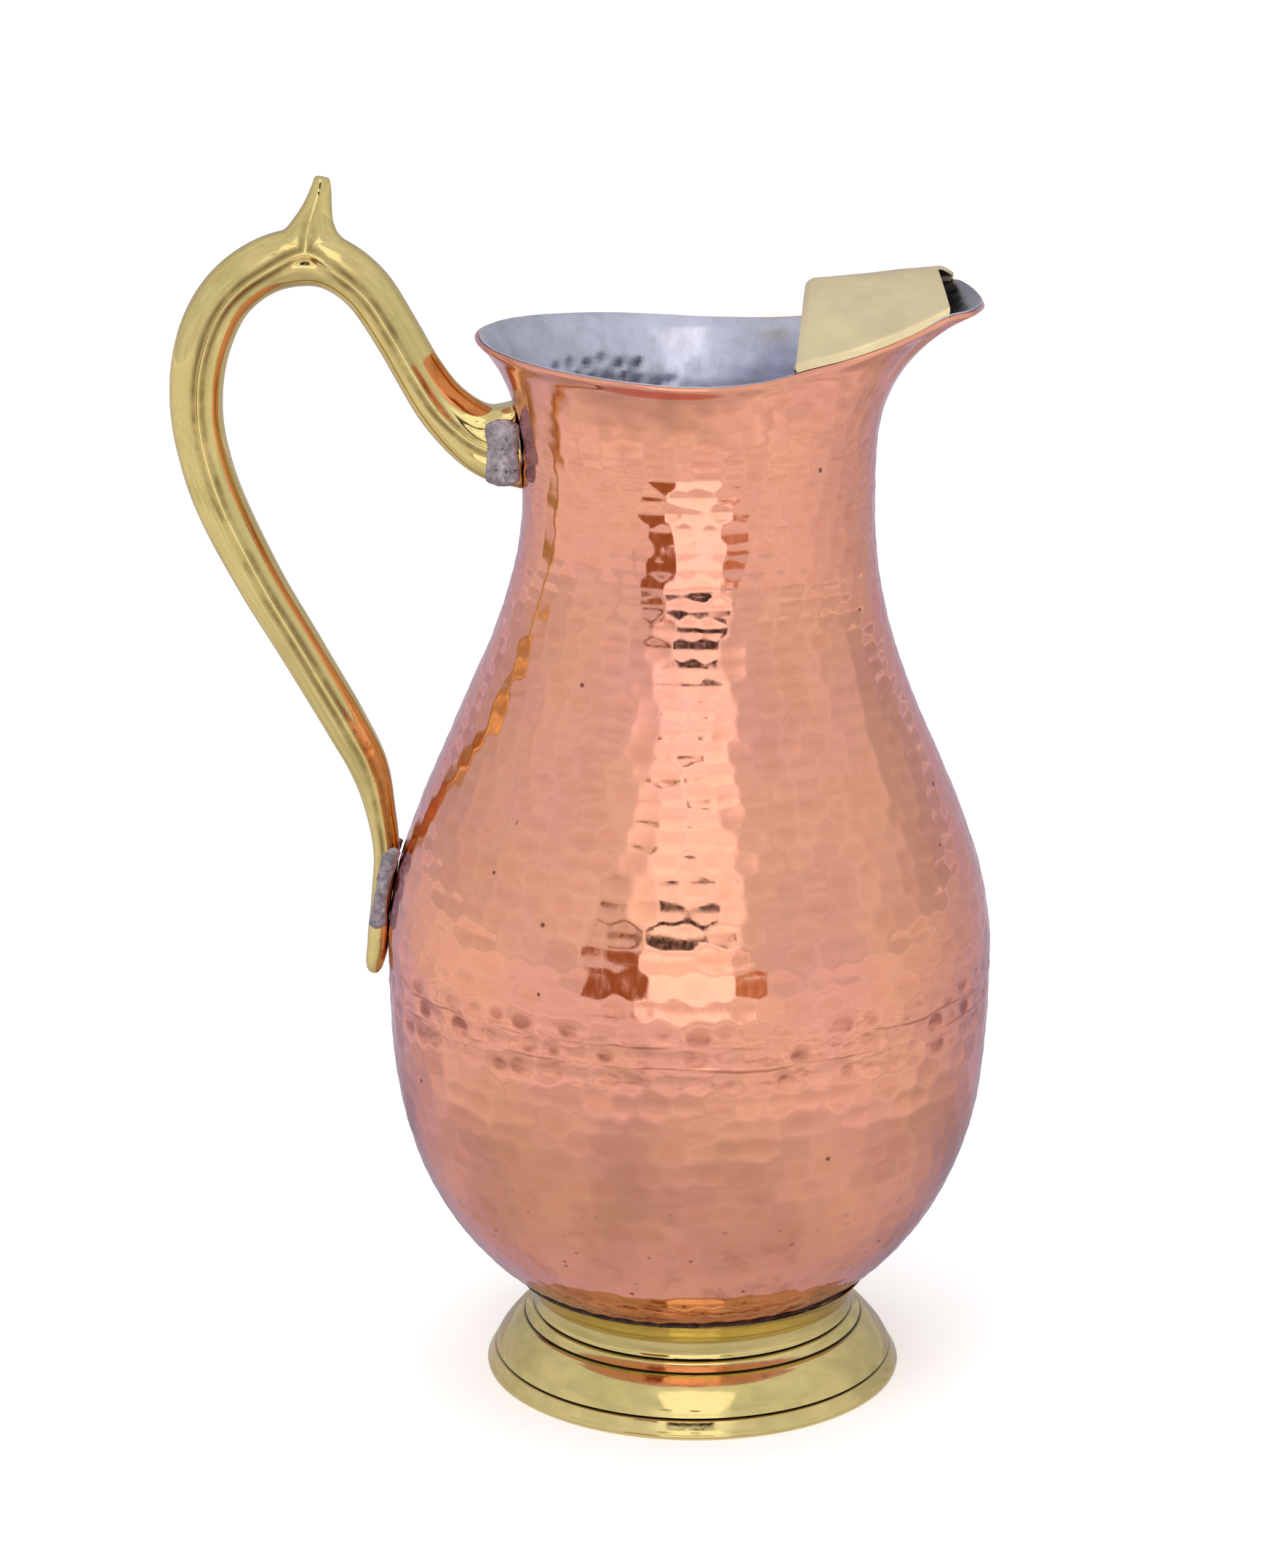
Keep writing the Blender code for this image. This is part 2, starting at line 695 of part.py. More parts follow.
def main():
    for obj in list(bpy.data.objects):
        bpy.data.objects.remove(obj, do_unlink=True)
    scene = bpy.context.scene
    pieces = bpy.data.collections.new("pouring_jug")
    cutters = bpy.data.collections.new("cutters")
    scene.collection.children.link(pieces)
    scene.collection.children.link(cutters)

    axis = bpy.data.objects.new("jug_axis", None)
    axis.location = ((handle_reach() - BELLY_R) / 2, 0.0, 0.0)
    pieces.objects.link(axis)

    copper = (0.90, 0.47, 0.33)
    brass = (0.80, 0.68, 0.33)
    tin = (0.68, 0.68, 0.72)
    solder = (0.50, 0.47, 0.47)

    clearance = add_pot_clearance(cutters, axis)
    add_lower_body(pieces, axis, material("bowl copper", copper, 0.22, 1.0))
    add_belly_seam(pieces, axis, material("seam braze", (0.86, 0.52, 0.33), 0.3, 1.0))
    add_upper_body(pieces, axis, material("shoulder copper", copper, 0.22, 1.0))
    add_tin_lining(pieces, axis, material("tin", tin, 0.34, 1.0))
    add_foot(pieces, axis, clearance, material("foot brass", brass, 0.18, 1.0))
    add_foot_solder(pieces, axis, material("foot solder", (0.22, 0.19, 0.16), 0.6, 1.0))
    add_guard(pieces, axis, material("guard brass", (0.78, 0.68, 0.42), 0.36, 1.0))
    for side, where in ((-1, "near"), (1, "far")):
        name = "guard_solder_" + where
        add_guard_solder(name, side, pieces, axis, material(name, solder, 0.5, 1.0))
    add_handle(pieces, cutters, axis, clearance, material("handle brass", brass, 0.18, 1.0))
    neck_x = -(NECK_R + NECK_SOLDER_STANDOFF)
    neck_z = NECK_Z + HANDLE_NECK_RISE - 0.4 * MM
    tail = handle_place(TAIL_SOLDER[0] / 2 + 1.2 * MM, TAIL_SOLDER_SHARE)
    for side, where in ((-1, "near"), (1, "far")):
        for end, place, size, share in (
            ("neck", (neck_x + NECK_LEAN, neck_z), NECK_SOLDER, 1.0),
            ("tail", tail, TAIL_SOLDER, TAIL_SOLDER_SHARE),
        ):
            name = end + "_solder_" + where
            finish = material(name, solder, 0.5, 1.0)
            add_handle_solder(name, side, place, size, share, clearance, pieces, axis, finish)


main()
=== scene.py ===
"""Looks of a hammered copper pouring jug: copper halves, tin lining, brass handle, guard and foot.

Every piece is modelled about the jug's own axis in metres, +Z up and the lip along +X, and is moved
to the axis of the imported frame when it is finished.
"""

from math import cos, pi, radians, sin

import bpy
import numpy as np
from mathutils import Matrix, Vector, kdtree, noise


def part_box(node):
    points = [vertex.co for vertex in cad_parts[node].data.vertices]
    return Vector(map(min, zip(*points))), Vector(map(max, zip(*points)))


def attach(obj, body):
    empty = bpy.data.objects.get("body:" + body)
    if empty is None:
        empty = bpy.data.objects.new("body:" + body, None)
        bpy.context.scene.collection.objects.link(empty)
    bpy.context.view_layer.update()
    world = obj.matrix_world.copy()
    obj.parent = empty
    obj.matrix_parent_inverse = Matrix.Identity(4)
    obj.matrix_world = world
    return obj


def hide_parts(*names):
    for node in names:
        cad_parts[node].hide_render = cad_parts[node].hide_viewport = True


bl_info = {
    "name": "Hammered Pouring Jug",
    "version": (1, 0, 0),
    "blender": (4, 5, 0),
    "location": "View3D > Sidebar > Jug",
    "description": "Hammered copper pouring jug with a cast brass handle, a lip guard and a turned foot",
    "category": "Add Mesh",
}

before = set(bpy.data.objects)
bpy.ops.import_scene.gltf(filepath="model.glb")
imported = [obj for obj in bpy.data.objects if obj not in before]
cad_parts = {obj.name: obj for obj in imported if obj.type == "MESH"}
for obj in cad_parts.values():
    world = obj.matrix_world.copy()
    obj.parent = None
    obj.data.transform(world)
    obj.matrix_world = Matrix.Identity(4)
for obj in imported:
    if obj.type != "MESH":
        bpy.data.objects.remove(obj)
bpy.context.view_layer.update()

MM = 0.001

# The jug's axis stands in the middle of the lower bowl
BOWL_LOW, BOWL_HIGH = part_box("lower_body")
AXIS_X = (BOWL_LOW.x + BOWL_HIGH.x) / 2

# The copper pot
WALL = 1.1 * MM
BELLY_R = 70.0 * MM
BELLY_Z = 105.3 * MM
BOWL_BOTTOM_Z = BOWL_LOW.z
BOWL_FULLNESS = 2.87
NECK_R = 40.0 * MM
NECK_Z = 210.3 * MM
SHOULDER_SLACK = 0.94
NECK_LEAN = 1.8 * MM
LEAN_START_Z = 160.0 * MM
SEAM_Z = (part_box("belly_seam")[0].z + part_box("belly_seam")[1].z) / 2
SEAM_HEIGHT = 1.2 * MM
TIN = 0.5 * MM
TIN_GAP = 0.05 * MM

# The rim: angle from the spout in degrees, radius, height above the neck
RIM = (
    (0.0, 65.0, 43.9),
    (13.0, 65.0, 44.8),
    (19.5, 64.6, 44.9),
    (22.6, 61.5, 44.4),
    (26.3, 57.6, 42.2),
    (33.5, 52.5, 39.2),
    (44.0, 46.2, 36.1),
    (56.0, 43.4, 34.5),
    (72.0, 45.0, 33.1),
    (92.0, 46.8, 32.8),
    (122.0, 47.8, 34.4),
    (150.0, 48.1, 35.8),
    (180.0, 48.2, 36.6),
)
COLLAR = 36.6 * MM  # the straight collar that the mouth is beaten out of
FLARE_POWER = 3.2
SPOUT_FLARE_POWER = 3.5
SPOUT_FLARE_ANGLE = radians(60)
RIM_ROLL = 0.35 * MM
RIM_ROLL_DEEP = 3.0 * MM

# The foot
FOOT_OFFSET_X = 1.2 * MM
FOOT_R = 49.0 * MM
FOOT_TOP_Z = 24.8 * MM
FOOT_WAIST_R = 37.4 * MM
FOOT_WAIST_Z = 17.7 * MM
# the bell: share of the way out, share of the waist's height
FOOT_BELL = ((0.0, 1.0), (0.05, 0.85), (0.25, 0.71), (0.47, 0.58), (0.72, 0.38), (0.84, 0.24), (0.95, 0.10))
FOOT_BASE = ((0.15, 1.2), (0.0, 0.7), (0.1, 0.25), (0.45, 0.0))  # mm back from the edge, mm up
FOOT_LIP = 0.6 * MM
FOOT_WALL = 2.6 * MM
FOOT_LAND = 3.6 * MM
GROOVES_Z = (15.0 * MM, 12.6 * MM, 4.3 * MM)

# The guard
GUARD_SHEET = 0.9 * MM
GUARD_BACK_X = (22.2 * MM, 27.5 * MM)  # near edge, far edge
GUARD_FRONT_X = (56.2 * MM, 60.2 * MM)
GUARD_RIDGE_X = (25.5 * MM, 54.7 * MM)  # back end, front end
GUARD_RIDGE_RISE = (49.5 * MM, 52.4 * MM)
GUARD_CREASE_RISE = 2.9 * MM
GUARD_LEAN = 0.3 * MM
GUARD_RIDGE_ROUND = 3.2 * MM
GUARD_WORN = 1.1 * MM  # how far the ridge's back end is worn down
GUARD_WORN_SHARE = 0.06

# The handle: stand-off from the copper, height share, depth, width, squareness
HANDLE_TAIL_Z = SEAM_Z - 0.9 * MM
HANDLE_NECK_Z = NECK_Z + 11.7 * MM
HANDLE = (
    (-3.0, 1.003, 20.0, 12.6, 5.0),
    (4.2, 1.008, 17.2, 12.6, 4.5),
    (10.0, 1.029, 14.4, 12.2, 3.2),
    (16.2, 1.075, 12.2, 11.8, 2.4),
    (21.2, 1.135, 11.0, 11.6, 2.2),
    (26.0, 1.204, 10.9, 11.8, 2.2),
    (32.3, 1.283, 11.4, 12.2, 2.2),
    (39.4, 1.328, 12.0, 12.6, 2.2),
    (47.0, 1.342, 13.0, 13.0, 2.2),
    (55.8, 1.324, 12.6, 13.0, 2.2),
    (63.7, 1.275, 12.4, 12.8, 2.2),
    (68.8, 1.203, 12.6, 12.6, 2.2),
    (71.3, 1.111, 12.2, 12.4, 2.2),
    (70.6, 1.006, 11.7, 12.2, 2.2),
    (65.6, 0.876, 11.6, 11.8, 2.2),
    (55.1, 0.742, 10.8, 11.4, 2.2),
    (40.2, 0.607, 10.3, 11.0, 2.2),
    (25.1, 0.483, 10.0, 10.6, 2.2),
    (15.4, 0.400, 9.1, 10.2, 2.2),
    (8.6, 0.318, 7.1, 9.8, 2.4),
    (3.6, 0.231, 6.0, 9.4, 3.0),
    (2.3, 0.140, 5.0, 9.0, 3.0),
    (2.4, 0.065, 5.2, 8.4, 2.6),
    (3.4, 0.017, 4.2, 7.2, 2.2),
    (3.6, 0.000, 2.4, 5.0, 2.0),
)
ARCH_CREST = 8
# the spike: along X and up from the crest, thickness, width
SPIKE = (
    (0.6, -3.0, 20.0, 9.8),
    (1.0, 3.2, 17.6, 9.6),
    (1.7, 5.2, 13.4, 9.0),
    (2.2, 6.8, 10.8, 8.3),
    (2.7, 8.6, 8.9, 7.6),
    (3.6, 11.4, 6.8, 6.4),
    (4.4, 14.6, 5.1, 5.3),
    (4.9, 17.9, 3.4, 4.4),
)
SPIKE_TIP_SLOPE = 0.16


# ---------------------------------------------------------------- settings


def number(name, text, default, **limits):
    return bpy.props.FloatProperty(name=name, description=text, default=default, **limits)


def length(name, text, default):
    return number(name, text, default, unit="LENGTH", precision=5)


def factor(name, text, default):
    return number(name, text, default, subtype="FACTOR", min=0.0, max=1.0)


def colour(name, text, default):
    return bpy.props.FloatVectorProperty(
        name=name, description=text, default=default, subtype="COLOR", size=3, min=0.0, max=1.0
    )


class JugCopperSettings(bpy.types.PropertyGroup):
    copper: colour("Copper", "Colour of the polished copper", (0.91, 0.42, 0.265))
    rosy: colour("Rosy copper", "Colour of the warmer clouds in the copper", (0.88, 0.39, 0.285))
    # the darker copper used for painted shade, low on the bowl and in the middle of the hammer marks
    deep: colour("Deep copper", "Colour of the copper low on the bowl", (0.82, 0.32, 0.19))
    tarnish: colour("Tarnish", "Colour of the marks along the seam", (0.42, 0.15, 0.10))
    edge: colour("Edge tint", "Tint of the copper where it is seen edge on", (0.82, 0.78, 1.0))
    polish: factor("Roughness", "Roughness of the polished copper", 0.10)
    neck_pitch: length("Neck pitch", "Distance between hammer marks at the neck", 5.3 * MM)
    belly_pitch: length("Belly pitch", "Distance between hammer marks at the belly", 6.9 * MM)
    depth: length("Mark depth", "Depth of a hammer mark", 0.155 * MM)
    waviness: length("Waviness", "How far the beaten wall wanders from round", 0.10 * MM)


class JugTinSettings(bpy.types.PropertyGroup):
    tin: colour("Tin", "Colour of the wiped tin", (0.64, 0.65, 0.78))
    roughness: factor("Roughness", "Roughness of the wiped tin", 0.27)
    dent: length("Dent height", "Height of the hammer marks on the inside", 0.16 * MM)


class JugBrassSettings(bpy.types.PropertyGroup):
    cast: colour("Cast brass", "Colour of the handle and the foot", (0.74, 0.595, 0.25))
    sheet: colour("Sheet brass", "Colour of the guard", (1.0, 0.85, 0.51))
    cast_roughness: factor("Cast roughness", "Roughness of the polished castings", 0.08)
    sheet_roughness: factor("Sheet roughness", "Roughness of the satin sheet", 0.34)
    groove_depth: length("Groove depth", "Depth of the foot's scribed lines", 0.55 * MM)
    groove_width: length("Groove width", "Width of the foot's scribed lines", 0.75 * MM)


class JugSolderSettings(bpy.types.PropertyGroup):
    grey: colour("Solder", "Colour of the solder beside the handle", (0.36, 0.32, 0.35))
    dark: colour("Foot solder", "Colour of the solder under the bowl", (0.07, 0.05, 0.04))
    lumps: length("Lumps", "Height of the lumps in the solder", 0.22 * MM)


class JugStudioSettings(bpy.types.PropertyGroup):
    floor: colour("Floor", "Colour of the floor", (0.93, 0.93, 0.93))
    tent: number("Tent", "Brightness of the white tent", 0.71, min=0.0)
    camera_distance: length("Camera distance", "Camera in front of the jug's axis", 955.3 * MM)
    camera_height: length("Camera height", "Camera above the floor", 412.4 * MM)
    lens: number("Lens", "Focal length", 98.7, unit="CAMERA")


# ---------------------------------------------------------------- rules of the shape


def between(a, b, share):
    return a + (b - a) * share


def ease(share):
    share = np.clip(share, 0.0, 1.0)
    return share * share * (3 - 2 * share)


def smooth_rows(points, each):
    """Rows of numbers on the smooth curve through the given rows, `each` steps between two."""
    table = np.array(points, float)
    padded = np.vstack([table[:1], table, table[-1:]])
    rows = []
    for a, b, c, d in zip(padded, padded[1:], padded[2:], padded[3:]):
        for t in np.arange(each) / each:
            bend = (a - 2.5 * b + 2 * c - d / 2) * t**2 + (3 * b - a - 3 * c + d) / 2 * t**3
            rows.append(b + (c - a) / 2 * t + bend)
    rows.append(table[-1])
    return np.array(rows)


def pot_radius(z):
    """Outer radius of the turned copper from the bowl's bottom to the neck."""
    z = np.asarray(z, float)
    down = np.clip((BELLY_Z - z) / (BELLY_Z - BOWL_BOTTOM_Z), 0.0, 1.0)
    bowl = BELLY_R * np.sqrt(np.clip(1 - down**BOWL_FULLNESS, 0.0, 1.0))
    up = np.clip((z - BELLY_Z) / (NECK_Z - BELLY_Z), 0.0, 1.0) ** SHOULDER_SLACK
    return np.where(z <= BELLY_Z, bowl, between(NECK_R, BELLY_R, (1 + np.cos(pi * up)) / 2))


def pot_lean(z):
    return NECK_LEAN * ease((z - LEAN_START_Z) / (NECK_Z - LEAN_START_Z))


def even_run(points, step):
    """Points about `step` apart along the chain of (radius, height) points."""
    chain = np.array(points, float)
    runs = np.concatenate([[0.0], np.cumsum(np.hypot(*np.diff(chain, axis=0).T))])
    count = max(int(round(runs[-1] / step)), 1)
    where = np.linspace(0.0, runs[-1], count + 1)
    return np.column_stack([np.interp(where, runs, chain[:, 0]), np.interp(where, runs, chain[:, 1])])


def directions(chain):
    """Unit vectors along a chain of points."""
    along = np.gradient(chain, axis=0)
    return along / np.linalg.norm(along, axis=1)[:, None]


def inset(points, depth):
    """The chain moved inwards, towards the axis, by `depth` square to itself."""
    chain = np.array(points, float)
    along = directions(chain)
    normal = np.column_stack([along[:, 1], -along[:, 0]])
    normal[normal[:, 0] < 0] *= -1
    moved = chain - depth * normal
    moved[:, 0] = np.maximum(moved[:, 0], 0.0)
    return moved


RIM_TABLE = smooth_rows(RIM, 12)


def from_spout(angle):
    """The angle from the spout, on either side, from 0 to pi."""
    return np.abs((np.asarray(angle) + pi) % (2 * pi) - pi)


def rim_rule(angle):
    """Radius and height above the neck of the rim, at angles from the spout."""
    turned = np.degrees(from_spout(angle))
    radius = np.interp(turned, RIM_TABLE[:, 0], RIM_TABLE[:, 1]) * MM
    rise = np.interp(turned, RIM_TABLE[:, 0], RIM_TABLE[:, 2]) * MM
    return radius, rise


def mouth_points(angle, share):
    """Points of the copper's outer face between the neck (share 0) and the rim (share 1)."""
    radius, rise = rim_rule(angle)
    power = between(SPOUT_FLARE_POWER, FLARE_POWER, ease(from_spout(angle) / SPOUT_FLARE_ANGLE))
    flare = np.clip(share, 0.0, None) ** power
    x = between(NECK_LEAN + NECK_R * np.cos(angle), radius * np.cos(angle), flare)
    y = between(NECK_R * np.sin(angle), radius * np.sin(angle), flare)
    return np.column_stack([x, y, NECK_Z + rise * share])


def round_axis(places):
    """Angle from +X, distance from the axis and height of each point."""
    x, y, z = places.T
    return np.arctan2(y, x), np.hypot(x, y), z


def beat_out(straight):
    """Moves points of the straight, turned pot to the leaning pot with its lip and round mouth."""
    angle, radius, height = round_axis(straight)
    share = np.clip((height - NECK_Z) / COLLAR, 0.0, 1.0)
    over = np.clip(height - NECK_Z - COLLAR, 0.0, None)
    place = mouth_points(angle, share)
    step = 1e-4  # in radians and as a share of the collar's height
    around = mouth_points(angle + step, share) - mouth_points(angle - step, share)
    upward = mouth_points(angle, share + step) - mouth_points(angle, np.maximum(share - step, 0.0))
    upward /= np.linalg.norm(upward, axis=1)[:, None]
    normal = np.cross(around, upward)
    normal /= np.linalg.norm(normal, axis=1)[:, None]
    roll = RIM_ROLL * ease(1 - (1 - share) * COLLAR / RIM_ROLL_DEEP)
    depth = (NECK_R - radius)[:, None]
    mouth = place + normal * (roll[:, None] - depth) + upward * over[:, None]
    moved = straight.copy()
    moved[:, 0] += pot_lean(height)
    blend = (height > NECK_Z)[:, None]
    return np.where(blend, mouth, moved)


# ---------------------------------------------------------------- hammer marks


def bowl_heights(count):
    """Heights from the bowl's bottom to the belly, closer together near the bottom."""
    turns = np.linspace(0, pi / 2, count)
    return BOWL_BOTTOM_Z + (BELLY_Z - BOWL_BOTTOM_Z) * (1 - np.cos(turns))


TABLE_Z = np.concatenate([bowl_heights(400), np.linspace(BELLY_Z, NECK_Z + COLLAR, 400)[1:]])
TABLE_R = pot_radius(TABLE_Z)
TABLE_RUN = np.concatenate([[0.0], np.cumsum(np.hypot(np.diff(TABLE_R), np.diff(TABLE_Z)))])
ROW_SHARE = 0.80  # height of a row of marks, in pitches
FEWEST_MARKS = 6  # in a row
MARK_SHARP = 22.0  # how sharp the ridges between marks are
MARK_FULL = 0.30  # depth in the middle of a mark, before it is scaled to 1
MARK_DEEP = 0.25
DEEP_SCATTER = 0.14
AROUND_SCATTER = 0.20
UP_SCATTER = 0.10
MARK_STRETCH = 0.95  # under 1 makes the marks wider than high


def scatter(row, place, salt):
    """A fixed number from -1 to 1 for each mark."""
    value = np.sin(row * 12.9898 + place * 78.233 + salt * 37.719) * 43758.5453
    return 2 * (value - np.floor(value)) - 1


def hammer_marks(angle, height, neck_pitch, belly_pitch):
    """How deep in a hammer mark each point lies: 0 on the ridges, about 1 in the middle of a mark."""
    pitch_table = between(neck_pitch, belly_pitch, np.clip((TABLE_R - NECK_R) / (BELLY_R - NECK_R), 0, 1))
    rows_table = np.concatenate([[0.0], np.cumsum(np.diff(TABLE_RUN) / pitch_table[1:] / ROW_SHARE)])
    row_at = np.interp(height, TABLE_Z, rows_table)
    base = np.floor(row_at)
    total = np.zeros_like(row_at)
    for row_step in (-1, 0, 1):
        row = base + row_step
        radius = np.interp(row + 0.5, rows_table, TABLE_R)
        pitch = np.interp(row + 0.5, rows_table, pitch_table)
        count = np.maximum(np.round(2 * pi * radius / pitch), FEWEST_MARKS)
        around = angle / (2 * pi) * count + scatter(row, 0.5, 1.0)
        first = np.floor(around)
        for place_step in (-1, 0, 1):
            place = first + place_step
            mark = np.mod(place, count)
            off_around = around - place - 0.5 - AROUND_SCATTER * scatter(row, mark, 2.0)
            off_up = row_at - row - 0.5 - UP_SCATTER * scatter(row, mark, 3.0)
            deep = MARK_DEEP + DEEP_SCATTER * scatter(row, mark, 4.0)
            total += np.exp(MARK_SHARP * (deep - off_up**2 - MARK_STRETCH * off_around**2))
    return np.clip(np.log(total) / MARK_SHARP / MARK_FULL, -0.5, 1.5)


# waves round the pot, wavelength up it in mm, phase
WAVES = ((2, 61, 0.3), (3, 83, 1.9), (4, 47, 4.1), (5, 95, 0.9), (7, 38, 2.6), (9, 29, 5.2))
WAVE_GAIN = 1.6


def wander(angle, height):
    """The slow unevenness of a beaten wall, from about -1 to 1."""
    total = 0.0
    for turns, wavelength, phase in WAVES:
        total = total + np.cos(turns * angle + phase + 2 * pi * height / (wavelength * MM))
    return total / len(WAVES) * WAVE_GAIN


# ---------------------------------------------------------------- modelling helpers


def push_out(obj, far):
    """Moves each point along its normal by its own distance."""
    place_points(obj, points_of(obj) + normals_of(obj) * far[:, None])


def mode(name):
    bpy.ops.object.mode_set(mode=name)
    if name == "EDIT":
        bpy.ops.mesh.select_all(action="SELECT")


def deselect():
    if bpy.context.object and bpy.context.object.mode != "OBJECT":
        mode("OBJECT")
    bpy.ops.object.select_all(action="DESELECT")


def pick(obj):
    deselect()
    obj.select_set(True)
    bpy.context.view_layer.objects.active = obj


def start(name):
    """Names the primitive that was just added."""
    made = bpy.context.object
    made.name = name
    made.data.name = name
    return made


def points_of(obj):
    places = np.zeros(len(obj.data.vertices) * 3)
    obj.data.vertices.foreach_get("co", places)
    return places.reshape(-1, 3)


def place_points(obj, places):
    obj.data.vertices.foreach_set("co", np.ascontiguousarray(places, float).ravel())
    obj.data.update()


def normals_of(obj):
    normals = np.zeros(len(obj.data.vertices) * 3, np.float32)
    obj.data.vertex_normals.foreach_get("vector", normals)
    return normals.reshape(-1, 3).astype(float)


def spun(name, profile, steps):
    """Draws a closed chain of (radius, height) points and spins it about the axis."""
    deselect()
    bpy.ops.mesh.primitive_plane_add(size=MM, location=(0, 0, 0))
    made = start(name)
    mode("EDIT")
    bpy.ops.mesh.merge(type="CENTER")
    mode("OBJECT")
    chain = [tuple(point) for point in (*profile, profile[0])]
    made.data.vertices[0].co = (chain[0][0], 0.0, chain[0][1])
    mode("EDIT")
    for before, after in zip(chain, chain[1:]):
        step = (after[0] - before[0], 0.0, after[1] - before[1])
        bpy.ops.mesh.extrude_region_move(TRANSFORM_OT_translate={"value": step})
    bpy.ops.mesh.select_all(action="SELECT")
    bpy.ops.mesh.spin(steps=steps, angle=2 * pi, center=(0, 0, 0), axis=(0, 0, 1))
    mode("OBJECT")
    outward(made, 0.004 * MM)
    return made


def modify(obj, name, kind, **settings):
    """Adds a modifier and applies it."""
    made = obj.modifiers.new(name, kind)
    for key, value in settings.items():
        setattr(made, key, value)
    pick(obj)
    bpy.ops.object.modifier_apply(modifier=made.name)


def outward(obj, merge=0.002 * MM):
    """Joins points closer than `merge` and turns every face to point out of its shell."""
    pick(obj)
    mode("EDIT")
    bpy.ops.mesh.remove_doubles(threshold=merge)
    bpy.ops.mesh.normals_make_consistent(inside=False)
    mode("OBJECT")


def finish_piece(obj, material, node, angle=60):
    """Moves the mesh to the jug's axis, shades it smooth and hands it to the frame."""
    places = points_of(obj)
    places[:, 0] += AXIS_X
    place_points(obj, places)
    pick(obj)
    bpy.ops.object.shade_smooth_by_angle(angle=radians(angle))
    obj.data.materials.clear()
    obj.data.materials.append(material)
    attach(obj, "root")
    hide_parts(node)


def keep_number(obj, name, values):
    """Stores one number for each point, for the material to read."""
    stored = obj.data.attributes.new(name, "FLOAT", "POINT")
    stored.data.foreach_set("value", np.ascontiguousarray(values, np.float32))


def lumpy(places, size, salt):
    """Noise from about -1 to 1 at each point, in lumps of the given size."""
    shift = Vector((salt * 3.1, salt * 1.7, salt * 2.3))
    return np.array([noise.noise(Vector(place) / size + shift) for place in places])


# ---------------------------------------------------------------- materials


class Nodes:
    """Short ways to add and join the nodes of a material or a world."""

    def __init__(self, tree, space="Object"):
        self.tree = tree
        self.place = tree.nodes.new("ShaderNodeTexCoord").outputs[space]

    def join(self, source, target):
        self.tree.links.new(source, target)

    def node(self, kind, inputs, **settings):
        """Adds a node, whose inputs are each given a value or joined to a socket."""
        made = self.tree.nodes.new(kind)
        for key, value in settings.items():
            setattr(made, key, value)
        for key, value in inputs.items():
            if isinstance(value, bpy.types.NodeSocket):
                self.join(value, made.inputs[key])
            else:
                made.inputs[key].default_value = value
        return made

    def mapped(self, scale):
        made = self.node("ShaderNodeMapping", {"Vector": self.place, "Scale": scale})
        return made.outputs["Vector"]

    def noise(self, size, detail=3.0, roughness=0.55, vector=None):
        inputs = {"Vector": vector or self.place, "Scale": 1.0 / size}
        inputs.update({"Detail": detail, "Roughness": roughness})
        return self.node("ShaderNodeTexNoise", inputs).outputs["Fac"]

    def span(self, value, low, high, to_low=0.0, to_high=1.0, curve="SMOOTHSTEP"):
        """Maps a value from low..high to another range, and keeps it in that range."""
        inputs = {"Value": value, "From Min": low, "From Max": high}
        inputs.update({"To Min": to_low, "To Max": to_high})
        return self.node("ShaderNodeMapRange", inputs, interpolation_type=curve).outputs["Result"]

    def math(self, a, b, operation="MULTIPLY"):
        return self.node("ShaderNodeMath", {0: a, 1: b}, operation=operation).outputs["Value"]

    def towards(self, vector, bearing):
        """Cosine of the angle between a unit vector and a bearing."""
        inputs = {0: vector, 1: Vector(bearing).normalized()}
        made = self.node("ShaderNodeVectorMath", inputs, operation="DOT_PRODUCT")
        return made.outputs["Value"]

    def mottle(self, scale, amount):
        """A factor near 1 that wanders by the given amount, as light on cloth does."""
        inputs = {"Vector": self.place, "Scale": scale, "Detail": 2.0}
        cloud = self.node("ShaderNodeTexNoise", inputs).outputs["Fac"]
        return self.span(cloud, 0.35, 0.65, 1 - amount, 1 + amount, "LINEAR")

    def mix(self, share, *tones):
        """Mixes two colours, each a socket or red, green and blue."""
        inputs = {"Factor": share}
        for socket, tone in zip((6, 7), tones):
            plain = not isinstance(tone, bpy.types.NodeSocket)
            inputs[socket] = (*tone[:3], 1.0) if plain else tone
        return self.node("ShaderNodeMix", inputs, data_type="RGBA").outputs[2]

    def height(self):
        return self.node("ShaderNodeSeparateXYZ", {"Vector": self.place}).outputs["Z"]

    def number(self, name):
        return self.node("ShaderNodeAttribute", {}, attribute_name=name).outputs["Fac"]

    def bump(self, value, distance, under=None):
        inputs = {"Height": value, "Distance": distance, "Strength": 1.0}
        if under:
            inputs["Normal"] = under
        return self.node("ShaderNodeBump", inputs).outputs["Normal"]

    def specks(self, size, radius, share):
        """Small round spots, one in some of the cells of the given size."""
        cells = self.node("ShaderNodeTexVoronoi", {"Vector": self.place, "Scale": 1.0 / size})
        spot = self.span(cells.outputs["Distance"], radius * 0.6, radius, 1.0, 0.0)
        parts = self.node("ShaderNodeSeparateColor", {"Color": cells.outputs["Color"]})
        return self.math(spot, self.span(parts.outputs["Red"], 1 - share, 1 - share + 0.01))


class Shader(Nodes):
    """A new metal material."""

    def __init__(self, name, roughness, metallic=1.0, edge=(1.0, 1.0, 1.0)):
        self.material = bpy.data.materials.new(name)
        self.material.use_nodes = True
        super().__init__(self.material.node_tree)
        self.surface = self.tree.nodes["Principled BSDF"]
        self.surface.inputs["Metallic"].default_value = metallic
        self.surface.inputs["Roughness"].default_value = roughness
        self.surface.inputs["Specular Tint"].default_value = (*edge, 1.0)

    def finish(self, base, roughness, normal):
        for socket, source in (("Base Color", base), ("Roughness", roughness), ("Normal", normal)):
            self.join(source, self.surface.inputs[socket])
        return self.material


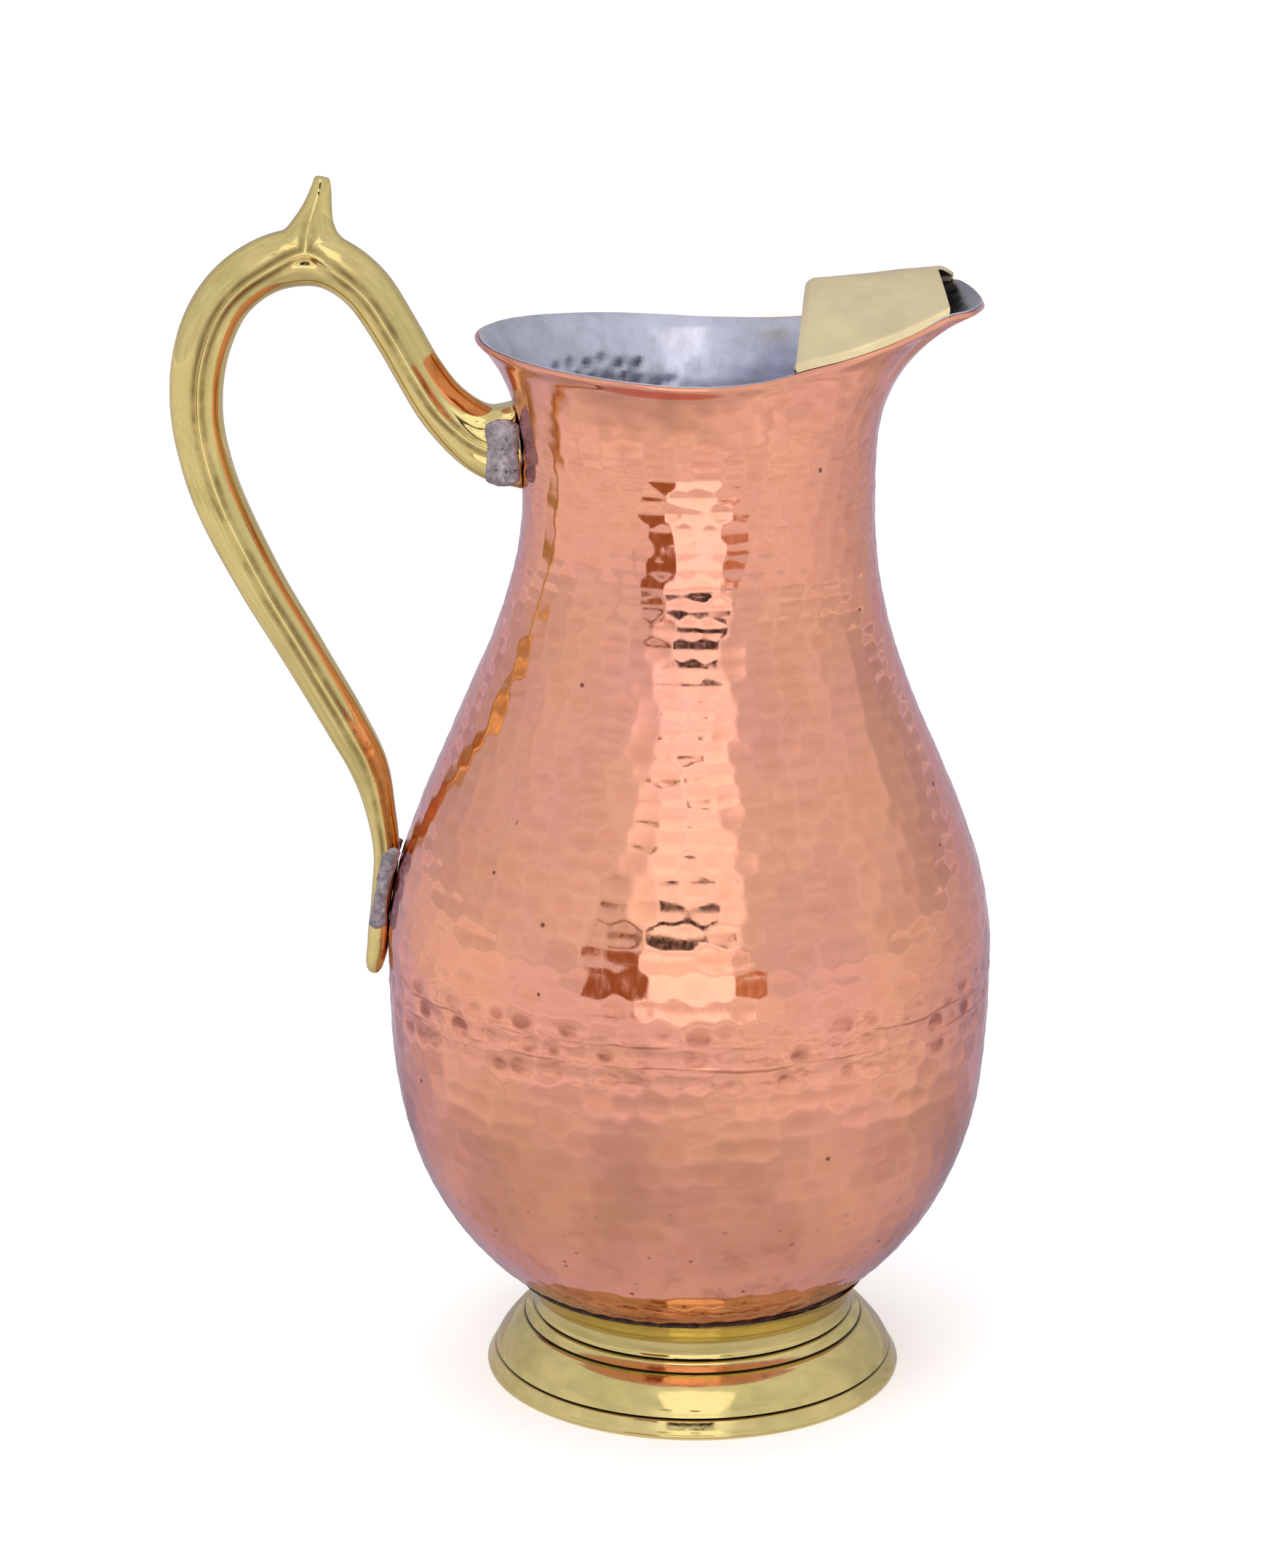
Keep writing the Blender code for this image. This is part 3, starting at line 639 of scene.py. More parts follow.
SCORED_LINES_Z = (SEAM_Z + 6.5 * MM, SEAM_Z + 1.6 * MM)  # faint lines round the belly


def copper_material(name):
    """Polished copper with rosy clouds, tarnish along the seam, specks and fine wiping marks, with painted
    shade low on the bowl and in the hammer marks.
    """
    settings = bpy.context.scene.jug_copper
    shader = Shader(name, settings.polish, edge=settings.edge)
    clouds = shader.span(shader.noise(26 * MM, 4.0), 0.38, 0.66)
    base = shader.mix(clouds, settings.copper, settings.rosy)
    height = shader.height()
    # painted shade: the darker deep copper is mixed in towards the bottom of the bowl
    base = shader.mix(shader.span(height, 20 * MM, 70 * MM, 0.55, 0.0), base, settings.deep)
    # painted shade: the middle of each hammer mark is mixed towards the darker deep copper
    hollow = shader.span(shader.number("mark"), 0.35, 0.95, 0.0, 0.27)
    base = shader.mix(hollow, base, settings.deep)
    low = shader.span(height, SEAM_Z - 9 * MM, SEAM_Z - 3 * MM)
    high = shader.span(height, SEAM_Z + 4 * MM, SEAM_Z + 11 * MM, 1.0, 0.0)
    band = shader.math(low, high)
    patches = shader.noise(15 * MM, 4.0, vector=shader.mapped((1.0, 1.0, 3.2)))
    patchy = shader.span(patches, 0.41, 0.61)
    deep = shader.span(shader.number("mark"), 0.55, 0.95)
    dirt = shader.noise(5 * MM, 5.0, 0.65, vector=shader.mapped((1.0, 1.0, 2.6)))
    grime = shader.span(dirt, 0.52, 0.68)
    rows = shader.math(shader.math(band, patchy), shader.math(deep, 0.95))
    rows = shader.math(rows, shader.math(shader.math(band, grime), 0.50), "MAXIMUM")
    level = shader.math(height, shader.math(shader.noise(34 * MM, 3.0), 5 * MM), "ADD")
    for line_z in SCORED_LINES_Z:
        off = shader.math(shader.math(level, line_z, "SUBTRACT"), 0.0, "ABSOLUTE")
        line = shader.span(off, 0.10 * MM, 0.45 * MM, 0.75, 0.0)
        rows = shader.math(rows, shader.math(line, patchy), "MAXIMUM")
    base = shader.mix(rows, base, settings.tarnish)
    # painted shade: patchy darkening in the tarnish colour towards the bottom of the bowl
    lower = shader.span(height, 30 * MM, 75 * MM, 1.0, 0.0)
    painted_shade = shader.math(shader.math(lower, shader.span(shader.noise(7 * MM, 5.0), 0.5, 0.72)), 0.50)
    base = shader.mix(painted_shade, base, settings.tarnish)
    marks = shader.specks(9 * MM, 0.075, 0.30)
    pits = shader.math(shader.specks(4 * MM, 0.17, 0.5), shader.math(lower, 0.95))
    spots = shader.math(marks, pits, "MAXIMUM")
    nicks = shader.noise(3 * MM, 1.0, vector=shader.mapped((0.8, 1.3, 0.3)))
    spots = shader.math(spots, shader.span(nicks, 0.81, 0.84), "MAXIMUM")
    base = shader.mix(shader.math(spots, 0.8), base, (0.10, 0.03, 0.03))
    wiped = shader.noise(1.2 * MM, 3.0, vector=shader.mapped((1.0, 1.0, 0.25)))
    rough = shader.span(wiped, 0.3, 0.7, settings.polish - 0.025, settings.polish + 0.04)
    rough = shader.math(rough, shader.math(rows, 0.22), "ADD")
    fine = shader.bump(shader.noise(2.2 * MM, 2.0), 0.012 * MM)
    return shader.finish(base, rough, shader.bump(wiped, 0.004 * MM, under=fine))


def tin_material():
    """Wiped tin: satin, cloudy, with darker streaks, and painted shade in the punch marks and under the
    guard.
    """
    settings = bpy.context.scene.jug_tin
    shader = Shader("wiped tin", settings.roughness)
    clouds = shader.span(shader.noise(11 * MM, 5.0, 0.6), 0.35, 0.7)
    base = shader.mix(clouds, settings.tin, tuple(part * 0.80 for part in settings.tin))
    streaks = shader.noise(3.0 * MM, 4.0, vector=shader.mapped((1.0, 1.0, 0.4)))
    base = shader.mix(shader.span(streaks, 0.55, 0.8, 0.0, 0.5), base, (0.42, 0.43, 0.50))
    spots = shader.specks(7 * MM, 0.05, 0.1)
    base = shader.mix(shader.math(spots, 0.7), base, (0.12, 0.12, 0.16))
    # painted shade: darker in the punch marks and under the guard
    base = shader.mix(shader.math(shader.number("painted_shade"), 0.80), base, (0.12, 0.12, 0.18))
    rough = shader.span(streaks, 0.3, 0.8, settings.roughness - 0.05, settings.roughness + 0.12)
    return shader.finish(base, rough, shader.bump(streaks, 0.05 * MM))


def brass_material(name, flecks):
    """Cast brass with faint clouds, pits and polishing marks; painted shade beside the handle's ridges, and
    near black painted shade in the foot's grooves.
    """
    settings = bpy.context.scene.jug_brass
    shader = Shader(name, settings.cast_roughness, edge=(0.94, 0.88, 0.97))
    clouds = shader.span(shader.noise(14 * MM, 4.0), 0.4, 0.68)
    greener = tuple(part * share for part, share in zip(settings.cast, (0.90, 0.93, 0.86)))
    base = shader.mix(clouds, settings.cast, greener)
    smudge = shader.span(shader.noise(5 * MM, 6.0, 0.65), 0.62, 0.74, 0.0, 0.35)
    base = shader.mix(smudge, base, (0.36, 0.25, 0.09))
    uneven = shader.span(shader.noise(12 * MM, 4.0), 0.36, 0.60, 0.20, 0.80)
    # painted shade: a dark brown line beside the handle's ridges
    base = shader.mix(shader.math(shader.number("ridge_shade"), uneven), base, (0.17, 0.09, 0.02))
    large, small = shader.specks(8 * MM, 0.05, flecks), shader.specks(3 * MM, 0.07, flecks / 3)
    pits = shader.math(large, small, "MAXIMUM")
    base = shader.mix(shader.math(pits, 0.85), base, (0.06, 0.04, 0.02))
    # painted shade: the foot's grooves are painted near black
    base = shader.mix(shader.number("groove_shade"), base, (0.02, 0.015, 0.01))
    polish = shader.noise(0.9 * MM, 3.0)
    low, high = settings.cast_roughness - 0.02, settings.cast_roughness + 0.05
    rough = shader.span(polish, 0.3, 0.75, low, high)
    rough = shader.math(rough, shader.math(smudge, 0.5), "ADD")
    soft = shader.bump(shader.noise(6 * MM, 2.0), 0.05 * MM)
    return shader.finish(base, rough, shader.bump(polish, 0.004 * MM, under=soft))


def sheet_material():
    """Satin brass sheet, brushed along its length, with a few small pits, and near black painted shade on
    its downward faces.
    """
    settings = bpy.context.scene.jug_brass
    shader = Shader("satin sheet brass", settings.sheet_roughness, edge=(0.90, 0.86, 1.0))
    clouds = shader.span(shader.noise(12 * MM, 4.0), 0.38, 0.68)
    base = shader.mix(clouds, settings.sheet, tuple(part * 0.90 for part in settings.sheet))
    pits = shader.specks(9 * MM, 0.06, 0.22)
    halo = shader.specks(9 * MM, 0.16, 0.22)
    base = shader.mix(shader.math(halo, 0.25), base, (0.45, 0.36, 0.20))
    base = shader.mix(shader.math(pits, 0.7), base, (0.20, 0.15, 0.08))
    # painted shade: the downward faces under the guard are near black
    base = shader.mix(shader.math(shader.number("inside"), 0.93), base, (0.04, 0.035, 0.035))
    brushed = shader.noise(0.5 * MM, 3.0, vector=shader.mapped((0.06, 1.0, 1.0)))
    low, high = settings.sheet_roughness - 0.05, settings.sheet_roughness + 0.09
    rough = shader.span(brushed, 0.3, 0.7, low, high)
    return shader.finish(base, rough, shader.bump(brushed, 0.01 * MM))


def solder_material(name, tone, roughness):
    """Dull solder with dark pits and lighter wiped tops."""
    shader = Shader(name, roughness, metallic=0.85)
    clouds = shader.span(shader.noise(2.6 * MM, 5.0, 0.7), 0.35, 0.68)
    darker, lighter = ([min(part * gain, 1.0) for part in tone] for gain in (0.62, 1.25))
    base = shader.mix(clouds, darker, lighter)
    pits = shader.span(shader.noise(1.1 * MM, 4.0, 0.7), 0.60, 0.68)
    base = shader.mix(pits, base, tuple(part * 0.12 for part in tone))
    rough = shader.span(clouds, 0.0, 1.0, roughness + 0.12, roughness - 0.08)
    return shader.finish(base, rough, shader.bump(shader.noise(0.8 * MM, 4.0), 0.12 * MM))


# ---------------------------------------------------------------- the copper pot

AROUND = 448  # steps of the copper's spin
ROW = 0.92 * MM  # between the copper's rows of points
ON_FACE = 0.05 * MM  # points this close to a face belong to it
SMOOTH_MOUTH = 0.80  # how much weaker the marks are near the rim
SMOOTH_FROM = 9.0 * MM  # above the neck
SMOOTH_OVER = 18.0 * MM
SEAM_STRONGER = 0.9  # how much deeper the marks are along the seam
SEAM_REACH = 7.0 * MM


def beaten(name, profile, steps=AROUND):
    """Spins the straight profile, then beats it out; also gives the straight places."""
    made = spun(name, profile, steps)
    straight = points_of(made)
    place_points(made, beat_out(straight))
    return made, straight


def rim_round(inner, outer, steps):
    """Points over the top of a wall, from its outer to its inner face, above the collar's top."""
    middle, half = (inner + outer) / 2, (outer - inner) / 2
    turns = [pi * step / steps for step in range(1, steps)]
    top = NECK_Z + COLLAR
    return [(NECK_R + middle + half * cos(turn), top + half * sin(turn)) for turn in turns]


def drive_marks(obj, straight, skin, depth):
    """Drives the marks in by `depth` where skin is 1, or out where it is negative."""
    settings = bpy.context.scene.jug_copper
    angle, _, height = round_axis(straight)
    marks = hammer_marks(angle, height, settings.neck_pitch, settings.belly_pitch)
    smooth_top = 1 - SMOOTH_MOUTH * ease((height - NECK_Z - SMOOTH_FROM) / SMOOTH_OVER)
    stronger = 1 + SEAM_STRONGER * np.exp(-(((height - SEAM_Z) / SEAM_REACH) ** 2))
    push = -depth * marks * smooth_top * stronger
    calm = 1 - 0.6 * ease((height - NECK_Z) / COLLAR)
    push = push + settings.waviness * wander(angle, height) * calm
    normals = normals_of(obj)
    # pieces that meet at the seam share the turned face's normals, so that no gap opens
    step = 0.05 * MM
    slope = (pot_radius(height + step) - pot_radius(height - step)) / (2 * step)
    turned = np.column_stack([np.cos(angle), np.sin(angle), -slope]) / np.hypot(1.0, slope)[:, None]
    seam = (np.abs(height - SEAM_Z) < SEAM_HEIGHT) & (skin > 0.5)
    normals[seam] = turned[seam]
    place_points(obj, points_of(obj) + normals * (push * skin)[:, None])
    keep_number(obj, "mark", marks)


def copper_piece(name, profile, material, node):
    """Makes a piece of the pot from its profile and hammers its outside."""
    made, straight = beaten(name, profile)
    _, radius, height = round_axis(straight)
    skin = (np.abs(radius - pot_radius(height)) < ON_FACE).astype(float)
    drive_marks(made, straight, skin, bpy.context.scene.jug_copper.depth)
    finish_piece(made, copper_material(material), node)


def shoulder_run(low, step):
    heights = np.linspace(low, NECK_Z, 300)
    return even_run(np.column_stack([pot_radius(heights), heights]), step)


def bowl_run(high, step):
    """From the bowl's bottom up to `high`, coarser where the foot hides it."""
    heights = bowl_heights(500)
    heights = np.append(heights[heights < high], high)
    chain = np.column_stack([pot_radius(heights), heights])
    hidden = chain[:, 0] < FOOT_WAIST_R
    under = even_run(chain[hidden], 2.2 * step)
    open_part = even_run(np.vstack([chain[hidden][-1:], chain[~hidden]]), step)
    return np.vstack([under, open_part[1:]])


def pot_run(step):
    """From the bowl's bottom up to the neck."""
    return np.vstack([bowl_run(SEAM_Z, step), shoulder_run(SEAM_Z, step)[1:]])


class JUG_OT_shoulder(bpy.types.Operator):
    """Model the copper shoulder with its neck, round mouth and pouring lip"""

    bl_idname = "jug.shoulder"
    bl_label = "Copper shoulder"

    def execute(self, context):
        low = SEAM_Z + SEAM_HEIGHT / 2
        outer = shoulder_run(low, ROW)
        collar = [(NECK_R, z) for z in np.linspace(NECK_Z, NECK_Z + COLLAR, 46)[1:]]
        inner_collar = [(NECK_R - WALL, z) for z in np.linspace(NECK_Z + COLLAR, NECK_Z, 14)[:-1]]
        inner = inset(shoulder_run(low, 8 * MM), WALL)[::-1]
        profile = [*outer, *collar, *rim_round(-WALL, 0.0, 6), *inner_collar, *inner]
        copper_piece("shoulder", profile, "shoulder copper", "upper_body")
        return {"FINISHED"}


class JUG_OT_bowl(bpy.types.Operator):
    """Model the copper bowl under the belly seam"""

    bl_idname = "jug.bowl"
    bl_label = "Copper bowl"

    def execute(self, context):
        high = SEAM_Z - SEAM_HEIGHT / 2
        outer = bowl_run(high, ROW)
        inner = inset(bowl_run(high, 7 * MM), WALL)[::-1]
        inner[-1] = (0.0, BOWL_BOTTOM_Z + WALL)
        copper_piece("bowl", [*outer, *inner], "bowl copper", "lower_body")
        return {"FINISHED"}


class JUG_OT_belly_seam(bpy.types.Operator):
    """Model the brazed ring that joins the two copper halves"""

    bl_idname = "jug.belly_seam"
    bl_label = "Belly seam"

    def execute(self, context):
        heights = np.linspace(SEAM_Z - SEAM_HEIGHT / 2, SEAM_Z + SEAM_HEIGHT / 2, 5)
        outer = np.column_stack([pot_radius(heights), heights])
        profile = [*outer, *(outer[::-1] - (WALL, 0.0))]
        copper_piece("seam_ring", profile, "seam braze", "belly_seam")
        return {"FINISHED"}


TIN_AROUND = 320
TIN_SEEN_Z = 150.0 * MM  # the tin is finer above this height
TIN_DENT_DEEP = 0.45 * MM
GUARD_SHADE_FROM_X = 42.0 * MM  # painted shade: the tin is painted darker under the guard
GUARD_SHADE_OVER = 14.0 * MM
# deep punch marks inside, also painted darker as shade: height share, first and last angle, how many,
# strength
TIN_DENTS = (
    (0.70, 142, 108, 6, 1.0),
    (0.57, 134, 97, 7, 0.55),
    (0.84, 120, 66, 7, 0.14),
)


class JUG_OT_tin_lining(bpy.types.Operator):
    """Model the wiped tin coat on the inside, with the hammer marks showing through"""

    bl_idname = "jug.tin_lining"
    bl_label = "Tin lining"

    def execute(self, context):
        settings = context.scene.jug_tin
        outside = WALL + TIN_GAP
        inside = outside + TIN
        top = NECK_Z + COLLAR
        outer_low = inset(pot_run(6 * MM), outside)
        outer_low[0] = (0.0, BOWL_BOTTOM_Z + outside)
        outer_collar = [(NECK_R - outside, z) for z in np.linspace(NECK_Z, top, 12)[1:]]
        inner_collar = [(NECK_R - inside, z) for z in np.linspace(top, NECK_Z, 44)[:-1]]
        seen = inset(shoulder_run(TIN_SEEN_Z, 1.1 * MM), inside)[::-1]
        deep = inset(pot_run(3 * MM), inside)[::-1]
        deep = deep[deep[:, 1] < TIN_SEEN_Z - 2 * MM]
        deep[-1] = (0.0, BOWL_BOTTOM_Z + inside)
        over = rim_round(-inside, -outside, 4)
        profile = [*outer_low, *outer_collar, *over, *inner_collar, *seen, *deep]
        made, straight = beaten("tin_coat", profile, TIN_AROUND)
        angle, radius, height = round_axis(straight)
        skin = (pot_radius(height) - radius > (outside + inside) / 2).astype(float)
        drive_marks(made, straight, skin, -settings.dent)
        places = points_of(made)
        share = (height - NECK_Z) / COLLAR
        dent = np.zeros(len(places))
        for row, (row_share, first, last, count, strength) in enumerate(TIN_DENTS):
            for place, turn in enumerate(np.linspace(radians(first), radians(last), count)):
                around = (angle - turn - 0.02 * scatter(row, place, 6.0)) * NECK_R
                upward = (share - row_share - 0.03 * scatter(row, place, 7.0)) * COLLAR + 0.35 * around
                off = (around / (1.5 * MM)) ** 2 + (upward / (1.0 * MM)) ** 2
                dent = np.maximum(dent, strength * np.exp(-off))
        dent *= skin
        place_points(made, places - normals_of(made) * (dent * TIN_DENT_DEEP)[:, None])
        # painted shade under the guard and in the punch marks, stored for the material
        lip = ease((places[:, 0] - GUARD_SHADE_FROM_X) / GUARD_SHADE_OVER) * 0.85 * skin
        keep_number(made, "painted_shade", np.maximum(dent, lip))
        finish_piece(made, tin_material(), "tin_lining")
        return {"FINISHED"}


# ---------------------------------------------------------------- the foot


def foot_outline():
    """(radius, height) points down the foot's outside, with the grooves' bottoms and edges."""
    settings = bpy.context.scene.jug_brass
    top = float(pot_radius(FOOT_TOP_Z)) + FOOT_LIP
    collar = []
    for rise in np.linspace(1.0, 0.0, 14):
        radius = between(FOOT_WAIST_R, top, rise**1.7)
        collar.append((radius, between(FOOT_WAIST_Z, FOOT_TOP_Z, rise)))
    bell = smooth_rows(FOOT_BELL, 10)
    bell = [(between(FOOT_WAIST_R, FOOT_R, out), FOOT_WAIST_Z * up) for out, up in bell[1:]]
    base = [(FOOT_R - back * MM, z * MM) for back, z in FOOT_BASE]
    chain = even_run(collar + bell + base, 0.45 * MM)
    extra = []
    for z in GROOVES_Z:
        for off in (-0.5, -0.32, -0.16, 0.0, 0.16, 0.32, 0.5):
            at = z + off * settings.groove_width
            extra.append((np.interp(-at, -chain[:, 1], chain[:, 0]), at))
    chain = np.vstack([chain, extra])
    chain = chain[np.argsort(-chain[:, 1] + 1e-3 * chain[:, 0], kind="stable")]
    for z in GROOVES_Z:
        near = np.clip(1 - np.abs(chain[:, 1] - z) / (settings.groove_width / 2), 0.0, 1.0)
        chain[:, 0] -= settings.groove_depth * near**0.6
        lip = np.exp(-(((chain[:, 1] - z) / settings.groove_width) ** 2) * 2.2) * (near == 0)
        chain[:, 0] += 0.06 * MM * lip
    return chain


class JUG_OT_foot(bpy.types.Operator):
    """Model the turned brass foot with its collar, bell and scribed grooves"""

    bl_idname = "jug.foot"
    bl_label = "Turned foot"

    def execute(self, context):
        settings = context.scene.jug_brass
        outline = foot_outline()
        inner_r = FOOT_WAIST_R - FOOT_WALL
        land_r = FOOT_R - FOOT_LAND
        heights = np.linspace(FOOT_TOP_Z - 0.05 * MM, 20.6 * MM, 5)
        seat = [(float(pot_radius(z)) + 0.12 * MM, z) for z in heights]
        hollow = [(inner_r, 19.0 * MM), (inner_r, 15.0 * MM), (inner_r + 1.6 * MM, 10.0 * MM)]
        hollow += [(land_r - 2.6 * MM, 5.0 * MM), (land_r, 1.2 * MM), (land_r, 0.0)]
        top = (seat[0][0] + 0.2 * MM, FOOT_TOP_Z)
        profile = [*outline, *hollow[::-1], *seat[::-1], top]
        made = spun("turned_foot", profile, 360)
        places = points_of(made)
        groove_shade = np.zeros(len(places))
        _, radius, height = round_axis(places)
        skin = radius > np.interp(-height, -outline[:, 1], outline[:, 0]) - ON_FACE
        for z in GROOVES_Z:
            # painted shade along the middle of each groove
            dark = np.clip(1 - np.abs(height - z) / (settings.groove_width * 0.42), 0.0, 1.0)
            groove_shade = np.maximum(groove_shade, np.clip(dark * 2.2, 0, 1) * skin)
        places[:, 0] += FOOT_OFFSET_X
        place_points(made, places)
        keep_number(made, "groove_shade", groove_shade)
        finish_piece(made, brass_material("foot brass", 0.10), "foot", angle=50)
        return {"FINISHED"}


class JUG_OT_foot_solder(bpy.types.Operator):
    """Model the dark uneven solder between the bowl and the foot"""

    bl_idname = "jug.foot_solder"
    bl_label = "Foot solder"

    def execute(self, context):
        settings = context.scene.jug_solder
        bead_r = 0.45 * MM
        low = FOOT_TOP_Z - 0.2 * MM
        centre_r = float(pot_radius(FOOT_TOP_Z)) + 0.25 * MM
        section = []
        for turn in np.linspace(0, 2 * pi, 13)[:-1]:
            section.append((centre_r + bead_r * cos(turn), low + 0.35 * MM + bead_r * sin(turn)))
        made = spun("foot_joint", section, 420)
        places = points_of(made)
        uneven = lumpy(places, 3.2 * MM, 1.0) * 0.9 + lumpy(places, 1.1 * MM, 2.0) * 0.5
        push_out(made, uneven * settings.lumps * 0.7)
        material = solder_material("dark solder", tuple(settings.dark), 0.5)
        finish_piece(made, material, "foot_solder")
        return {"FINISHED"}


# ---------------------------------------------------------------- the guard


def rim_near(x):
    """The rim's outer corner on the near side at a distance along X."""
    angles = np.linspace(radians(19.5), radians(90), 600)
    points = mouth_points(angles, np.ones(len(angles)))
    order = np.argsort(points[:, 0])
    y = np.interp(x, points[order, 0], points[order, 1])
    z = np.interp(x, points[order, 0], points[order, 2])
    return y, z


GUARD_ACROSS = (1.0, 0.72, 0.46, 0.28, 0.17, 0.10, 0.05)  # places on a panel, from crease to ridge


def guard_section(share):
    """Points of the sheet's outer face, from the near skirt over the ridge to the far skirt."""
    worn = GUARD_WORN * max(1 - share / GUARD_WORN_SHARE, 0.0) ** 2
    ridge_z = NECK_Z + between(*GUARD_RIDGE_RISE, share) - worn
    ridge = Vector((between(*GUARD_RIDGE_X, share), 0.0, ridge_z))
    sides = []
    for side, place in ((-1, 0), (1, 1)):
        x = between(GUARD_BACK_X[place], GUARD_FRONT_X[place], share)
        y, z = rim_near(x)
        foot = Vector((x, side * (y - 0.35 * MM), z + 0.75 * MM))
        crease = Vector((x, side * (y - GUARD_LEAN - 0.35 * MM), z + GUARD_CREASE_RISE))
        half = abs(crease.y)
        reach = np.hypot(half, GUARD_RIDGE_ROUND) - GUARD_RIDGE_ROUND
        run = [foot, foot.lerp(crease, 0.5), foot.lerp(crease, 0.82)]
        for part in GUARD_ACROSS:
            drop = (np.hypot(half * part, GUARD_RIDGE_ROUND) - GUARD_RIDGE_ROUND) / reach
            x, z = between(ridge.x, crease.x, part), between(ridge.z, crease.z, drop)
            point = Vector((x, side * half * part, z))
            if part == 1.0:
                point += Vector((0.0, -side * 0.30 * MM, -0.12 * MM))
            run.append(point)
        sides.append(run)
    return [*sides[0], ridge, *reversed(sides[1])]


class JUG_OT_guard(bpy.types.Operator):
    """Model the folded brass sheet over the pouring lip"""

    bl_idname = "jug.guard"
    bl_label = "Lip guard"

    def execute(self, context):
        rows = 36
        count = len(guard_section(0.0))
        deselect()
        bpy.ops.mesh.primitive_grid_add(x_subdivisions=rows - 1, y_subdivisions=count - 1, size=1.0)
        made = start("lip_guard")
        grid = points_of(made)
        row_of = np.round((grid[:, 0] + 0.5) * (rows - 1)).astype(int)
        place_of = np.round((grid[:, 1] + 0.5) * (count - 1)).astype(int)
        sections = [guard_section(row / (rows - 1)) for row in range(rows)]
        place_points(made, np.array([sections[row][place] for row, place in zip(row_of, place_of)]))
        modify(made, "soft folds", "SUBSURF", levels=2, render_levels=2)
        push_out(made, lumpy(points_of(made), 9 * MM, 4.0) * 0.16 * MM)
        inwards = -1.0 if normals_of(made)[:, 2].mean() > 0 else 1.0
        modify(made, "sheet", "SOLIDIFY", thickness=GUARD_SHEET, offset=inwards)
        worn = {"width": 0.18 * MM, "segments": 2, "limit_method": "ANGLE"}
        modify(made, "worn edge", "BEVEL", **worn, angle_limit=radians(60))
        outward(made)
        # painted shade on the downward faces, stored for the material
        keep_number(made, "inside", ease((-normals_of(made)[:, 2] - 0.05) / 0.3))
        finish_piece(made, sheet_material(), "spout_guard", angle=45)
        return {"FINISHED"}


class JUG_OT_guard_solder(bpy.types.Operator):
    """Model the threads of solder inside the guard's skirts"""

    bl_idname = "jug.guard_solder"
    bl_label = "Guard solder"

    def execute(self, context):
        settings = context.scene.jug_solder
        material = solder_material("guard solder", tuple(settings.grey), 0.42)
        for side, place, where in ((-1, 0, "near"), (1, 1, "far")):
            route = []
            for share in np.linspace(0.03, 0.44, 40):
                x = between(GUARD_BACK_X[place], GUARD_FRONT_X[place], share)
                y, z = rim_near(x)
                inward = Vector((x * 0.25, side * y, 0.0)).normalized() * (GUARD_SHEET + 1.0 * MM)
                route.append(Vector((x, side * y, z + 1.1 * MM)) - inward)
            made = tube("guard_solder_" + where + "_bead", route, 0.5 * MM, 12)
            push_out(made, lumpy(points_of(made), 1.6 * MM, 5.0 + side) * settings.lumps * 0.6)
            finish_piece(made, material, "guard_solder_" + where)
        return {"FINISHED"}


def column(name, sides, radius, rows):
    """A disc extruded row by row; also gives its points and the row of each."""
    deselect()
    bpy.ops.mesh.primitive_circle_add(vertices=sides, radius=radius, fill_type="NGON")
    made = start(name)
    mode("EDIT")
    for _ in range(rows - 1):
        bpy.ops.mesh.extrude_region_move(TRANSFORM_OT_translate={"value": (0, 0, MM)})
    mode("OBJECT")
    places = points_of(made)
    return made, places, np.round(places[:, 2] / MM).astype(int)


def tube(name, route, radius, sides):
    """A closed tube along the route, rounded off at its ends."""
    made, places, row_of = column(name, sides, radius, len(route))
    moved = np.zeros_like(places)
    for row, point in enumerate(route):
        ahead = route[min(row + 1, len(route) - 1)] - route[max(row - 1, 0)]
        turn = ahead.to_track_quat("Z", "Y")
        thin = min(1.0, 0.35 + 0.3 * min(row, len(route) - 1 - row))
        for index in np.nonzero(row_of == row)[0]:
            flat = Vector((places[index, 0] * thin, places[index, 1] * thin, 0.0))
            moved[index] = point + turn @ flat
    place_points(made, moved)
    outward(made)
    return made


# ---------------------------------------------------------------- the handle

HANDLE_SIDES = 48
HANDLE_EACH = 7  # rows of the loft for each row of HANDLE
HANDLE_VOXEL = 0.42 * MM
TOUCH = 0.04 * MM  # soldered pieces stand this close to the copper
RIDGE_SHIFT = 0.14  # the side ridges lie this share of the half depth towards the pot
RIDGE_SHARP = 1.45  # 2 is round, 1 is a knife edge
RIDGE_HIGH = 0.42 * MM
RIDGE_CLIMB = 12.0 * MM  # how far from the crest the ridges start to climb into the spike
RIDGE_WIDE = 0.8 * MM
RIDGE_DIP = 0.30  # dip beside a ridge, as a share of its height
RIDGE_DIP_AWAY = 1.9 * MM
# where the line of painted shade lies beside a ridge, and how wide it is
RIDGE_SHADE_AWAY = 1.0 * MM
RIDGE_SHADE_WIDE = 0.7 * MM
TAIL_SOLDER_Z = (109.0 * MM, 128.5 * MM)


def handle_rows():
    rows = smooth_rows(HANDLE, HANDLE_EACH)
    heights = between(HANDLE_TAIL_Z, HANDLE_NECK_Z, rows[:, 1])
    centres = np.column_stack([-(pot_radius(heights) + rows[:, 0] * MM), np.zeros(len(rows)), heights])
    return centres, rows[:, 2] * MM, rows[:, 3] * MM, rows[:, 4]


